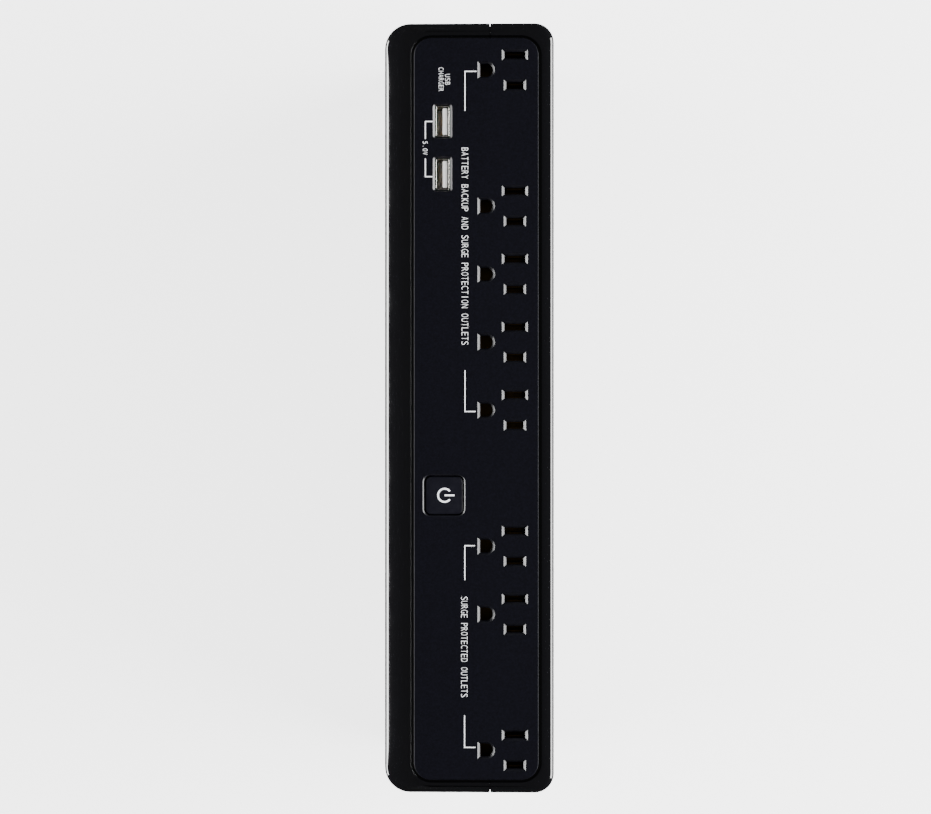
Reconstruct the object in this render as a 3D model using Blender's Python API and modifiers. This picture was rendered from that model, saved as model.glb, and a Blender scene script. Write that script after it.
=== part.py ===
"""A slim uninterruptible power supply that stands on its narrow base with its outlets on top.

Metres, +Z up. The origin is on the ground under the middle of the housing. X is the
width, Y the length, and the outlet face looks up. Every named object is one real piece.
"""

import math

import bmesh
import bpy
from mathutils import Matrix, Vector

MM = 0.001
GAP = 0.3 * MM  # air left between two pieces that touch on the real object
PAST = 1.0 * MM  # how far a cutter runs past the wall that it cuts
ROOT = 0.6 * MM  # how far a rib or boss is sunk into the wall that carries it

# Housing
BODY_WIDTH = 71.0 * MM
BODY_LENGTH = 323.4 * MM
BODY_HEIGHT = 134.0 * MM
FOOT_HEIGHT = 2.0 * MM
WALL = 2.4 * MM
SEAM_X = 8.7 * MM  # where the left and the right shell meet
SEAM_GAP = 0.3 * MM
CORNER_LEFT = 10.8 * MM
CORNER_RIGHT = 8.2 * MM
BASE_EDGE = 3.0 * MM  # rounding where the walls meet the floor
CORNER_STEPS = 6

# Shoulder that falls from the outlet plate to the walls: one width and edge tilt a side
BAND_LEFT = 12.3 * MM
BAND_RIGHT = 6.5 * MM
BAND_HEAD = 6.7 * MM  # at the +Y end
BAND_TAIL = 5.9 * MM  # at the -Y end
TILT_LEFT = math.radians(36)
TILT_RIGHT = math.radians(16)
TILT_END = math.radians(20)
SHOULDER_EDGE = 2.6 * MM
RIM_DROP = 0.5 * MM  # the housing's rim sits this far below the outlet plate

# Outlet plate
PLATE_THICK = 3.0 * MM
PLATE_CORNER = 7.3 * MM
PLATE_CHAMFER = 0.6 * MM
PLATE_GROOVE = 1.2 * MM
LEDGE_WIDTH = 2.0 * MM
LEDGE_THICK = 2.4 * MM

# Outlets, North American three-pin pattern
OUTLET_SIDE = 9.9 * MM  # from the plate's +X edge to the middle of the blade slots
OUTLET_END = 13.4 * MM  # from the plate's +Y edge to the first outlet
OUTLET_PITCH = 28.5 * MM
BACKUP_STEPS = (0, 2, 3, 4, 5)
SURGE_STEPS = (7, 8, 10)
BLADE_SPACING = 12.7 * MM
EARTH_OFFSET = 11.9 * MM
NEUTRAL_SLOT = (8.7 * MM, 2.7 * MM)
LINE_SLOT = (7.1 * MM, 2.8 * MM)
EARTH_RADIUS = 2.8 * MM
FUNNEL_LONG = 1.3 * MM  # lead-in chamfer at a slot's short ends
FUNNEL_SIDE = 0.9 * MM  # lead-in chamfer along a slot's long sides
FUNNEL_DEPTH = 1.0 * MM
ARC_STEPS = 8

# Outlet blocks and their contacts
BLOCK_INNER = 17.3 * MM  # from the blade slots to the block's side at -X
BLOCK_OUTER = 6.9 * MM  # and to its side at +X
BLOCK_DEPTH = 18.0 * MM
BLOCK_WALL = 1.5 * MM
BLOCK_TOP = 2.0 * MM
BLOCK_CORNER = 4.0 * MM
CONTACT_THICK = 0.8 * MM
CONTACT_WIDTH = 6.5 * MM
CONTACT_GAP = 2.0 * MM
CONTACT_HEIGHT = 12.5 * MM
BUS_HEIGHT = 4.5 * MM
EARTH_LEAF_GAP = 5.4 * MM
EARTH_LEAF_WIDTH = 5.0 * MM

# USB charger
USB_SIDE = 12.0 * MM  # from the plate's -X edge
USB_END = 34.9 * MM  # from the plate's +Y edge to the first receptacle
USB_PITCH = 22.1 * MM
USB_SHELL = (5.8 * MM, 13.1 * MM, 14.0 * MM)
USB_SHELL_WALL = 0.35 * MM
USB_RECESS = (8.2 * MM, 14.6 * MM)
USB_SINK = 0.6 * MM
USB_TONGUE = (2.0 * MM, 11.3 * MM, 10.2 * MM)
USB_BASE_HEIGHT = 3.0 * MM
USB_TONGUE_SHIFT = 0.95 * MM
BOARD_THICK = 1.6 * MM
POST_RADIUS = 2.2 * MM

# Power button and its switch
BUTTON_SIDE = 12.6 * MM  # from the plate's -X edge
BUTTON_END = 191.7 * MM  # from the plate's +Y edge
BUTTON_SIZE = (15.9 * MM, 15.8 * MM)
BUTTON_CORNER = 2.3 * MM
BUTTON_PLAY = 0.45 * MM
BUTTON_SINK = 0.3 * MM
BUTTON_TRAVEL = 1.2 * MM
BUTTON_FLANGE = 0.9 * MM
BUTTON_FLANGE_THICK = 1.0 * MM
STEM_RADIUS = 2.4 * MM
SWITCH_SIZE = (6.0 * MM, 6.0 * MM, 3.6 * MM)
PLUNGER_RADIUS = 1.75 * MM
PLUNGER_SHOWS = 1.8 * MM
BUTTON_BOARD_TOP = 20.0 * MM  # below the outlet face

# Battery, a 12 V 7 Ah sealed block, and its door
BATTERY = (65.0 * MM, 151.0 * MM, 94.0 * MM)
BATTERY_END = 93.7 * MM  # from the +Y end to the battery's middle
FLOOR_RIB = 3.6 * MM
BATTERY_PLAY = 0.7 * MM
TAB = (0.8 * MM, 6.35 * MM, 6.3 * MM)
TAB_INSET = 7.5 * MM
DOOR_THICK = 1.5 * MM
DOOR_LIP = 1.7 * MM
DOOR_LIP_THICK = 1.2 * MM
DOOR_CORNER = 4.0 * MM
DOOR_PLAY = 0.3 * MM
DOOR_SCREW_MARGIN = 11.8 * MM
DOOR_CUP_RADIUS = 4.6 * MM
LEAD_RADIUS = 1.5 * MM

# Screws that pull the shells together
SCREW_END = 11.2 * MM  # from either end
SCREW_BEHIND = 9.5 * MM  # behind the battery
SCREW_RISE = 6.6 * MM  # above the floor
SCREW_FALL = 36.0 * MM  # below the outlet face
BOSS_RADIUS = 4.0 * MM
SCREW_RADIUS = 1.4 * MM
SCREW_PLAY = 0.3 * MM
SCREW_HEAD = (2.8 * MM, 2.0 * MM)
SCREW_BITE = 10.2 * MM  # thread that passes the seam
HEAD_SINK = 1.0 * MM

# Transformer, a 76 mm E-I core on its side
CORE = (40.0 * MM, 76.2 * MM, 63.5 * MM)
CORE_LEG = 25.4 * MM
CORE_WINDOW = (12.7 * MM, 38.1 * MM)
CORE_BEHIND = 68.5 * MM  # behind the battery
WINDING_WIDTH = 61.0 * MM
BRACKET_THICK = 1.2 * MM
BRACKET_WIDTH = 30.0 * MM
BRACKET_FOOT = 10.0 * MM

# Main board and its parts
BOARD_RISE = 5.5 * MM  # above the transformer
BOARD_SIDE = 3.1 * MM  # from the inner wall
BOARD_TAIL = 17.7 * MM  # from the -Y end
BOARD_BEHIND = 20.5 * MM  # behind the battery
SHELF_WIDTH = 5.0 * MM
SHELF_THICK = 3.2 * MM

# Service pocket in the -Y end wall, with the breaker and the cord's gland
POCKET_X = (-27.0 * MM, 5.0 * MM)
POCKET_Z = (14.0 * MM, 76.0 * MM)
POCKET_DEPTH = 4.0 * MM
SERVICE_X = -11.0 * MM
GLAND_Z = 30.0 * MM
GLAND_RADIUS = 6.2 * MM
GLAND_BORE = 4.2 * MM
GLAND_FLANGE = 9.0 * MM
BREAKER_Z = 57.0 * MM
BREAKER_BODY = (14.0 * MM, 30.0 * MM, 30.0 * MM)
BREAKER_NECK = 5.5 * MM
BREAKER_BUTTON = 3.3 * MM

# Vents, feet
VENT_WIDTH = 2.2 * MM
VENT_HEIGHT = 26.0 * MM
VENT_PITCH = 6.5 * MM
VENT_COUNT = 12
VENT_RISE = 5.4 * MM  # above the main board
FOOT_RADIUS = 6.0 * MM
FOOT_SEAT = 0.6 * MM
FOOT_SIDE = 11.5 * MM  # from either side wall
FOOT_END = 29.7 * MM  # from either end

# Places that follow from the sizes above
HALF_WIDTH = BODY_WIDTH / 2
HALF_LENGTH = BODY_LENGTH / 2
FLOOR_Z = FOOT_HEIGHT + WALL
PLATE_X = (-HALF_WIDTH + BAND_LEFT, HALF_WIDTH - BAND_RIGHT)
PLATE_Y = (-HALF_LENGTH + BAND_TAIL, HALF_LENGTH - BAND_HEAD)
PLATE_LOW = BODY_HEIGHT - PLATE_THICK
OUTLET_X = PLATE_X[1] - OUTLET_SIDE
OUTLET_FIRST_Y = PLATE_Y[1] - OUTLET_END
USB_X = PLATE_X[0] + USB_SIDE
USB_YS = (PLATE_Y[1] - USB_END, PLATE_Y[1] - USB_END - USB_PITCH)
BUTTON_XY = (PLATE_X[0] + BUTTON_SIDE, PLATE_Y[1] - BUTTON_END)
BLOCK_X = (OUTLET_X - BLOCK_INNER, OUTLET_X + BLOCK_OUTER)
LEDGE_TOP = PLATE_LOW - GAP
LEDGE_LOW = LEDGE_TOP - LEDGE_THICK
BLOCK_HIGH = PLATE_LOW - GAP
BLOCK_LOW = BLOCK_HIGH - BLOCK_DEPTH
BLOCK_END = BLADE_SPACING / 2 + CONTACT_GAP / 2 + CONTACT_THICK + GAP + BLOCK_WALL
EARTH_X = OUTLET_X - EARTH_OFFSET
BUTTON_BOARD_Z = BODY_HEIGHT - BUTTON_BOARD_TOP
BATTERY_LOW = FLOOR_Z + FLOOR_RIB
BATTERY_TOP = BATTERY_LOW + BATTERY[2]
BATTERY_Y = HALF_LENGTH - BATTERY_END
BATTERY_BACK = BATTERY_Y - BATTERY[1] / 2
BATTERY_FRONT = BATTERY_Y + BATTERY[1] / 2
DOOR_BACK_X = -HALF_WIDTH + DOOR_THICK
LIP_INNER_X = DOOR_BACK_X + GAP + DOOR_LIP_THICK
BATTERY_X = LIP_INNER_X + GAP + BATTERY[0] / 2
DOOR_SCREW_Y = BATTERY_BACK - BATTERY_PLAY - DOOR_SCREW_MARGIN / 2
DOOR_SCREW_Z = BATTERY_LOW + BATTERY[2] / 2
CORE_LOW = FLOOR_Z + FLOOR_RIB
CORE_TOP = CORE_LOW + CORE[2]
CORE_Y = BATTERY_BACK - CORE_BEHIND
BOARD_Z = CORE_TOP + BOARD_RISE
BOARD_TOP = BOARD_Z + BOARD_THICK
BOARD_X = HALF_WIDTH - WALL - BOARD_SIDE
VENT_Z = BOARD_TOP + VENT_RISE
BOARD_Y = (-HALF_LENGTH + BOARD_TAIL, BATTERY_BACK - BOARD_BEHIND)
POCKET_FLOOR_Y = -HALF_LENGTH + POCKET_DEPTH
SCREW_MID_Y = BATTERY_BACK - SCREW_BEHIND
SCREW_LENGTH = HALF_WIDTH - HEAD_SINK - SCREW_HEAD[1] - SEAM_X + SCREW_BITE
FOOT_X = HALF_WIDTH - FOOT_SIDE
FOOT_Y = HALF_LENGTH - FOOT_END
SCREW_SPOTS = tuple(
    (y, z)
    for y in (HALF_LENGTH - SCREW_END, SCREW_MID_Y, -HALF_LENGTH + SCREW_END)
    for z in (FLOOR_Z + SCREW_RISE, BODY_HEIGHT - SCREW_FALL)
)


def clear_scene():
    for obj in list(bpy.data.objects):
        bpy.data.objects.remove(obj, do_unlink=True)


def new_collection(name):
    group = bpy.data.collections.new(name)
    bpy.context.scene.collection.children.link(group)
    return group


def finish_of(name, colour, roughness, metallic=0.0):
    """A plain finish: colour, roughness and how metallic it is."""
    material = bpy.data.materials.new(name)
    material.use_nodes = True
    shader = material.node_tree.nodes["Principled BSDF"]
    shader.inputs["Base Color"].default_value = (*colour, 1.0)
    shader.inputs["Roughness"].default_value = roughness
    shader.inputs["Metallic"].default_value = metallic
    material.diffuse_color = (*colour, 1.0)
    return material


def link_object(name, data, group, place, turn):
    obj = bpy.data.objects.new(name, data)
    group.objects.link(obj)
    obj.location = place
    obj.rotation_euler = turn
    return obj


def mesh_of(name, bm):
    """Closes off a mesh under construction, with all its faces pointing outwards."""
    bmesh.ops.recalc_face_normals(bm, faces=bm.faces)
    mesh = bpy.data.meshes.new(name)
    bm.to_mesh(mesh)
    bm.free()
    return mesh


def piece(name, shape, finish, place=(0, 0, 0), turn=(0, 0, 0), smooth=False):
    """Adds one real piece. shape is a mesh under construction, or a mesh shared with a copy."""
    mesh = shape if isinstance(shape, bpy.types.Mesh) else mesh_of(name, shape)
    if not mesh.materials:
        mesh.materials.append(finish)
    if smooth:
        mesh.shade_smooth()
        mesh.set_sharp_from_angle(angle=math.radians(35))
    obj = link_object(name, mesh, PARTS, place, turn)
    obj.parent = FRAME
    return obj


def helper(name, bm, place=(0, 0, 0)):
    """Adds a shape that only cuts, joins or trims a real piece."""
    obj = link_object(name, mesh_of(name, bm), CUTTERS, place, (0, 0, 0))
    obj.hide_render = True
    obj.display_type = "WIRE"
    return obj


def combine(obj, other, operation):
    step = obj.modifiers.new(other.name, "BOOLEAN")
    step.operation = operation
    step.object = other
    step.solver = "EXACT"


def cut(obj, other):
    combine(obj, other, "DIFFERENCE")


def join(obj, other):
    combine(obj, other, "UNION")


def trim(obj, other):
    combine(obj, other, "INTERSECT")


def add_box(bm, low, high):
    """A box between two opposite corners. Returns its vertices."""
    low = Vector(low)
    high = Vector(high)
    size = Matrix.LocRotScale((low + high) / 2, None, high - low)
    return bmesh.ops.create_cube(bm, size=1.0, matrix=size)["verts"]


def add_round_box(bm, low, high, radius, axis, steps=4):
    """A box whose four edges along one axis (0, 1 or 2) are rounded."""
    verts = add_box(bm, low, high)
    edges = set()
    for vert in verts:
        for edge in vert.link_edges:
            run = edge.verts[0].co - edge.verts[1].co
            if abs(run[axis]) > run.length / 2:
                edges.add(edge)
    bmesh.ops.bevel(
        bm, geom=list(edges), offset=radius, segments=steps, profile=0.5, affect="EDGES"
    )


def add_cylinder(bm, start, end, radius, steps=20):
    """A cylinder from one point to another."""
    start = Vector(start)
    run = Vector(end) - start
    turn = run.to_track_quat("Z", "Y").to_matrix().to_4x4()
    bmesh.ops.create_cone(
        bm,
        cap_ends=True,
        segments=steps,
        radius1=radius,
        radius2=radius,
        depth=run.length,
        matrix=Matrix.Translation(start + run / 2) @ turn,
    )


def add_loft(bm, rings):
    """Skins closed rings of equal count into one form with flat ends.

    The skin is triangles, because four points of two unlike rings seldom share a plane.
    """
    rows = [[bm.verts.new(point) for point in ring] for ring in rings]
    for upper, lower in zip(rows, rows[1:]):
        for i, vert in enumerate(upper):
            j = (i + 1) % len(upper)
            bm.faces.new((vert, lower[i], lower[j]))
            bm.faces.new((vert, lower[j], upper[j]))
    bm.faces.new(rows[0])
    bm.faces.new(rows[-1][::-1])


def round_ring(x_span, y_span, z, radii, steps=CORNER_STEPS):
    """A rounded rectangle at height z. radii go round from the +X +Y corner."""
    centres = (
        (x_span[1] - radii[0], y_span[1] - radii[0]),
        (x_span[0] + radii[1], y_span[1] - radii[1]),
        (x_span[0] + radii[2], y_span[0] + radii[2]),
        (x_span[1] - radii[3], y_span[0] + radii[3]),
    )
    ring = []
    for quarter, (x, y) in enumerate(centres):
        for step in range(steps + 1):
            angle = math.pi / 2 * (quarter + step / steps)
            reach = radii[quarter]
            ring.append((x + reach * math.cos(angle), y + reach * math.sin(angle), z))
    return ring


def block_ring(x, y, width, length, z):
    """A rectangle round (x, y) at height z."""
    half_x = width / 2
    half_y = length / 2
    corners = ((1, 1), (-1, 1), (-1, -1), (1, -1))
    return [(x + i * half_x, y + j * half_y, z) for i, j in corners]


def earth_ring(x, y, grow_x, grow_y, z):
    """A D shape round (x, y): straight at -X and half round at +X."""
    reach_x = EARTH_RADIUS + grow_x
    reach_y = EARTH_RADIUS + grow_y
    ring = [(x - reach_x, y + reach_y, z), (x - reach_x, y - reach_y, z)]
    for step in range(ARC_STEPS + 1):
        angle = math.pi * (step / ARC_STEPS - 0.5)
        ring.append((x + reach_x * math.cos(angle), y + reach_y * math.sin(angle), z))
    return ring


def turned(name, profile, finish, place, turn=(0, 0, 0), steps=20):
    """A piece turned about its own Z from (radius, height) points."""
    mesh = bpy.data.meshes.new(name)
    points = [(radius, 0.0, height) for radius, height in profile]
    mesh.from_pydata(points, [(i, i + 1) for i in range(len(points) - 1)], [])
    mesh.materials.append(finish)
    obj = link_object(name, mesh, PARTS, place, turn)
    obj.parent = FRAME
    spin = obj.modifiers.new("turn", "SCREW")
    spin.steps = steps
    spin.render_steps = steps
    spin.use_merge_vertices = True
    spin.merge_threshold = 0.01 * MM
    spin.use_smooth_shade = True
    return obj


def wire(name, points, radius, finish):
    """A lead along a smooth curve through its own points."""
    samples = smooth_run([Vector(point) for point in points], 4)
    curve = bpy.data.curves.new(name, "CURVE")
    curve.dimensions = "3D"
    curve.bevel_depth = radius
    curve.bevel_resolution = 2
    curve.use_fill_caps = True
    curve.materials.append(finish)
    line = curve.splines.new("POLY")
    line.points.add(len(samples) - 1)
    for point, sample in zip(line.points, samples):
        point.co = (*sample, 1.0)
    obj = link_object(name, curve, PARTS, (0, 0, 0), (0, 0, 0))
    obj.parent = FRAME
    return obj


def smooth_run(points, parts):
    """Catmull-Rom points: parts of them between each two of the route's own points."""
    padded = [2 * points[0] - points[1], *points, 2 * points[-1] - points[-2]]
    samples = []
    for a, b, c, d in zip(padded, padded[1:], padded[2:], padded[3:]):
        for step in range(parts):
            t = step / parts
            bend = (2 * a - 5 * b + 4 * c - d) * t * t
            twist = (3 * b - a - 3 * c + d) * t * t * t
            samples.append(0.5 * (2 * b + (c - a) * t + bend + twist))
    samples.append(points[-1])
    return samples


def shoulder_steps():
    """(inset share, drop) along the shoulder of each side, from the rim to the wall.

    The crown is a parabola that starts level and ends at the side's edge tilt, and a
    round edge takes it from there to upright.
    """
    sides = []
    for band, tilt in (
        (BAND_RIGHT, TILT_RIGHT),
        (BAND_HEAD, TILT_END),
        (BAND_LEFT, TILT_LEFT),
        (BAND_TAIL, TILT_END),
    ):
        rim = band - PLATE_GROOVE
        run = rim - SHOULDER_EDGE * (1 - math.sin(tilt))
        fall = run * math.tan(tilt) / 2
        steps = [
            (rim - run * share, RIM_DROP + fall * share * share)
            for share in (0, 0.35, 0.7, 1)
        ]
        for share in (0.34, 0.67, 1):
            angle = tilt + (math.pi / 2 - tilt) * share
            inset = SHOULDER_EDGE * (1 - math.sin(angle))
            drop = SHOULDER_EDGE * (math.cos(tilt) - math.cos(angle))
            steps.append((inset, RIM_DROP + fall + drop))
        sides.append(steps)
    return sides


def housing_rings():
    """Rings of the outer form, from the rim down to the floor's underside."""
    rings = []
    sides = shoulder_steps()
    rim_corner = PLATE_CORNER + PLATE_GROOVE
    for row in zip(*sides):
        right, head, left, tail = row
        share = 1 - left[0] / (BAND_LEFT - PLATE_GROOVE)
        corner_right = rim_corner + (CORNER_RIGHT - rim_corner) * share
        corner_left = rim_corner + (CORNER_LEFT - rim_corner) * share
        ring = round_ring(
            (-HALF_WIDTH + left[0], HALF_WIDTH - right[0]),
            (-HALF_LENGTH + tail[0], HALF_LENGTH - head[0]),
            BODY_HEIGHT,
            (corner_right, corner_left, corner_left, corner_right),
        )
        rings.append([(x, y, BODY_HEIGHT - shoulder_drop(x, y, row)) for x, y, _ in ring])
    for share in (0, 0.5, 1):
        angle = math.pi / 2 * share
        inset = BASE_EDGE * (1 - math.cos(angle))
        corners = (CORNER_RIGHT, CORNER_LEFT, CORNER_LEFT, CORNER_RIGHT)
        rings.append(
            round_ring(
                (-HALF_WIDTH + inset, HALF_WIDTH - inset),
                (-HALF_LENGTH + inset, HALF_LENGTH - inset),
                FOOT_HEIGHT + BASE_EDGE * (1 - math.sin(angle)),
                [corner - inset for corner in corners],
            )
        )
    return rings


def shoulder_drop(x, y, row):
    """How far a ring's point lies below the outlet plate: each side's drop, eased along."""
    right, head, left, tail = row
    across = min(max((x + HALF_WIDTH) / BODY_WIDTH, 0), 1)
    side = left[1] + (right[1] - left[1]) * across
    end = head[1] if y > 0 else tail[1]
    to_end = min((HALF_LENGTH - abs(y)) / (CORNER_LEFT * 2), 1)
    ease = to_end * to_end * (3 - 2 * to_end)
    near_end = end + (side - end) * 0.75
    return near_end + (side - near_end) * ease


def housing_form():
    bm = bmesh.new()
    add_loft(bm, housing_rings())
    return mesh_of("housing_form", bm)


def inner_form():
    """The room inside the housing, as deep as the walls leave it."""
    inner_right = CORNER_RIGHT - WALL
    inner_left = CORNER_LEFT - WALL
    corners = (inner_right, inner_left, inner_left, inner_right)
    shoulder = SHOULDER_EDGE + WALL
    x_wall = (-HALF_WIDTH + WALL, HALF_WIDTH - WALL)
    y_wall = (-HALF_LENGTH + WALL, HALF_LENGTH - WALL)
    x_top = (PLATE_X[0] - WALL, PLATE_X[1] - LEDGE_WIDTH + GAP)
    y_top = (PLATE_Y[0] + LEDGE_WIDTH - GAP, PLATE_Y[1] - LEDGE_WIDTH + GAP)
    bm = bmesh.new()
    add_loft(
        bm,
        (
            round_ring(x_top, y_top, LEDGE_LOW, corners),
            round_ring(x_wall, y_wall, LEDGE_LOW - 2 * shoulder, corners),
            round_ring(x_wall, y_wall, FLOOR_Z, corners),
        ),
    )
    return bm


def plate_ring(grow, z):
    return round_ring(
        (PLATE_X[0] - grow, PLATE_X[1] + grow),
        (PLATE_Y[0] - grow, PLATE_Y[1] + grow),
        z,
        [PLATE_CORNER + grow] * 4,
    )


def plate_seat():
    """Cuts the plate's recess, and the opening that its ledge leaves."""
    bm = bmesh.new()
    over = BODY_HEIGHT + PAST
    add_loft(
        bm,
        (
            plate_ring(PLATE_GROOVE, over),
            plate_ring(PLATE_GROOVE, LEDGE_TOP),
            plate_ring(-LEDGE_WIDTH, LEDGE_TOP - GAP),
            plate_ring(-LEDGE_WIDTH, LEDGE_LOW - PAST),
        ),
    )
    return bm


def half_box(x_low, x_high):
    bm = bmesh.new()
    add_box(
        bm,
        (x_low, -HALF_LENGTH - PAST, -PAST),
        (x_high, HALF_LENGTH + PAST, BODY_HEIGHT + PAST),
    )
    return bm


def add_vents(bm, wall_x):
    """A row of upright slots through one side wall, above the transformer."""
    first = (BOARD_Y[0] + BOARD_Y[1] - VENT_PITCH * (VENT_COUNT - 1)) / 2
    for i in range(VENT_COUNT):
        y = first + i * VENT_PITCH
        add_box(
            bm,
            (wall_x - WALL - PAST, y - VENT_WIDTH / 2, VENT_Z),
            (wall_x + WALL + PAST, y + VENT_WIDTH / 2, VENT_Z + VENT_HEIGHT),
        )


def add_foot_seats(bm, x):
    for y in (-FOOT_Y, FOOT_Y):
        add_cylinder(
            bm,
            (x, y, FOOT_HEIGHT - PAST),
            (x, y, FOOT_HEIGHT + FOOT_SEAT),
            FOOT_RADIUS + GAP,
        )


def add_shelves(bm, side):
    """Ledges on a side wall that carry the main board. side is -1 or 1."""
    wall = side * (HALF_WIDTH - WALL + ROOT)
    lip = side * (HALF_WIDTH - WALL - SHELF_WIDTH)
    for y in (BOARD_Y[0] + 8 * MM, BOARD_Y[1] - 18 * MM):
        add_box(
            bm,
            (min(wall, lip), y, BOARD_Z - GAP - SHELF_THICK),
            (max(wall, lip), y + 10 * MM, BOARD_Z - GAP),
        )


def door_box(bm, grow, x_low, x_high):
    """A rounded box of the battery door's outline, grown all round."""
    add_round_box(
        bm,
        (
            x_low,
            BATTERY_BACK - BATTERY_PLAY - DOOR_SCREW_MARGIN - grow,
            BATTERY_LOW - BATTERY_PLAY - DOOR_LIP - grow,
        ),
        (
            x_high,
            BATTERY_FRONT + BATTERY_PLAY + DOOR_LIP + grow,
            BATTERY_TOP + BATTERY_PLAY + DOOR_LIP + grow,
        ),
        DOOR_CORNER + grow,
        axis=0,
    )


def left_shell(form):
    """The larger half: battery door opening, service pocket, floor ribs and long bosses."""
    shell = piece("left_shell", form, GLOSS_BLACK)
    seam = SEAM_X - SEAM_GAP / 2
    trim(shell, helper("left_side", half_box(-HALF_WIDTH - PAST, seam)))
    cut(shell, INNER)
    inner_x = -HALF_WIDTH + WALL

    lip = bmesh.new()
    door_box(lip, WALL, inner_x - ROOT, LIP_INNER_X)
    join(shell, helper("door_lip", lip))

    pocket_wall = bmesh.new()
    add_box(
        pocket_wall,
        (POCKET_X[0] - WALL, -HALF_LENGTH + ROOT, POCKET_Z[0] - WALL),
        (POCKET_X[1] + WALL, POCKET_FLOOR_Y + WALL, POCKET_Z[1] + WALL),
    )
    join(shell, helper("pocket_wall", pocket_wall))

    bosses = bmesh.new()
    for y, z in SCREW_SPOTS:
        add_cylinder(bosses, (inner_x - ROOT, y, z), (seam, y, z), BOSS_RADIUS)
    add_shelves(bosses, -1)
    join(shell, helper("left_bosses", bosses))

    door_boss = bmesh.new()
    add_cylinder(
        door_boss,
        (inner_x, DOOR_SCREW_Y, DOOR_SCREW_Z),
        (inner_x + 9 * MM, DOOR_SCREW_Y, DOOR_SCREW_Z),
        DOOR_CUP_RADIUS + 2 * MM,
    )
    join(shell, helper("door_boss", door_boss))

    ribs = bmesh.new()
    for y in (BATTERY_BACK + 12 * MM, BATTERY_Y, BATTERY_FRONT - 14 * MM):
        add_box(
            ribs,
            (LIP_INNER_X + GAP, y - MM, FLOOR_Z - ROOT),
            (seam - GAP, y + MM, BATTERY_LOW - GAP),
        )
    for side in (-1, 1):
        y = CORE_Y + side * (CORE[1] / 2 + BRACKET_FOOT / 2 + GAP + BRACKET_THICK)
        add_box(
            ribs,
            (-15 * MM, y - 4 * MM, FLOOR_Z - ROOT),
            (seam - GAP, y + 4 * MM, CORE_LOW - GAP),
        )
    join(shell, helper("floor_ribs", ribs))

    seat = bmesh.new()
    door_box(seat, DOOR_PLAY, -HALF_WIDTH - PAST, DOOR_BACK_X + GAP)
    cut(shell, helper("door_seat", seat))

    holes = bmesh.new()
    add_round_box(
        holes,
        (
            DOOR_BACK_X - PAST,
            BATTERY_BACK - BATTERY_PLAY,
            BATTERY_LOW - BATTERY_PLAY,
        ),
        (
            LIP_INNER_X + PAST,
            BATTERY_FRONT + BATTERY_PLAY,
            BATTERY_TOP + BATTERY_PLAY,
        ),
        DOOR_CORNER - DOOR_LIP,
        axis=0,
    )
    add_box(
        holes,
        (POCKET_X[0], -HALF_LENGTH - PAST, POCKET_Z[0]),
        (POCKET_X[1], POCKET_FLOOR_Y, POCKET_Z[1]),
    )
    add_vents(holes, -HALF_WIDTH)
    add_foot_seats(holes, -FOOT_X)
    for y, z in SCREW_SPOTS:
        tip = HALF_WIDTH - HEAD_SINK - SCREW_HEAD[1] - SCREW_LENGTH - 2 * MM
        add_cylinder(holes, (tip, y, z), (seam + PAST, y, z), SCREW_RADIUS + SCREW_PLAY, 12)
    cut(shell, helper("left_holes", holes))

    bores = bmesh.new()
    pocket_out = POCKET_FLOOR_Y - PAST
    pocket_in = POCKET_FLOOR_Y + WALL + PAST
    for z, radius in ((GLAND_Z, GLAND_RADIUS), (BREAKER_Z, BREAKER_NECK)):
        add_cylinder(
            bores,
            (SERVICE_X, pocket_out, z),
            (SERVICE_X, pocket_in, z),
            radius + GAP,
            24,
        )
    cup_end = DOOR_BACK_X + 2 * MM + GAP
    add_cylinder(
        bores,
        (DOOR_BACK_X, DOOR_SCREW_Y, DOOR_SCREW_Z),
        (cup_end, DOOR_SCREW_Y, DOOR_SCREW_Z),
        DOOR_CUP_RADIUS + GAP,
    )
    cut(shell, helper("service_bores", bores))
    pilot = bmesh.new()
    add_cylinder(
        pilot,
        (cup_end - GAP, DOOR_SCREW_Y, DOOR_SCREW_Z),
        (inner_x + 10 * MM, DOOR_SCREW_Y, DOOR_SCREW_Z),
        SCREW_RADIUS + SCREW_PLAY,
        12,
    )
    cut(shell, helper("door_pilot", pilot))
    cut(shell, SEAT)
    return shell


def right_shell(form):
    """The smaller half, which takes the screws from outside."""
    shell = piece("right_shell", form, GLOSS_BLACK)
    seam = SEAM_X + SEAM_GAP / 2
    trim(shell, helper("right_side", half_box(seam, HALF_WIDTH + PAST)))
    cut(shell, INNER)
    inner_x = HALF_WIDTH - WALL

    bosses = bmesh.new()
    for y, z in SCREW_SPOTS:
        add_cylinder(bosses, (seam, y, z), (inner_x + ROOT, y, z), BOSS_RADIUS)
    add_shelves(bosses, 1)
    for y in (BATTERY_BACK + 12 * MM, BATTERY_Y, BATTERY_FRONT - 14 * MM):
        add_box(
            bosses,
            (seam + GAP, y - MM, FLOOR_Z - ROOT),
            (inner_x - GAP, y + MM, BATTERY_LOW - GAP),
        )
    join(shell, helper("right_bosses", bosses))

    holes = bmesh.new()
    head_low = HALF_WIDTH - HEAD_SINK - SCREW_HEAD[1] - GAP
    for y, z in SCREW_SPOTS:
        add_cylinder(
            holes, (head_low, y, z), (HALF_WIDTH + PAST, y, z), SCREW_HEAD[0] + GAP, 16
        )
    add_vents(holes, HALF_WIDTH)
    add_foot_seats(holes, FOOT_X)
    cut(shell, helper("right_holes", holes))

    bores = bmesh.new()
    for y, z in SCREW_SPOTS:
        add_cylinder(
            bores,
            (seam - PAST, y, z),
            (head_low + PAST, y, z),
            SCREW_RADIUS + SCREW_PLAY,
            12,
        )
    cut(shell, helper("right_bores", bores))
    cut(shell, SEAT)
    return shell


def outlet_ys(steps):
    return [OUTLET_FIRST_Y - step * OUTLET_PITCH for step in steps]


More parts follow.
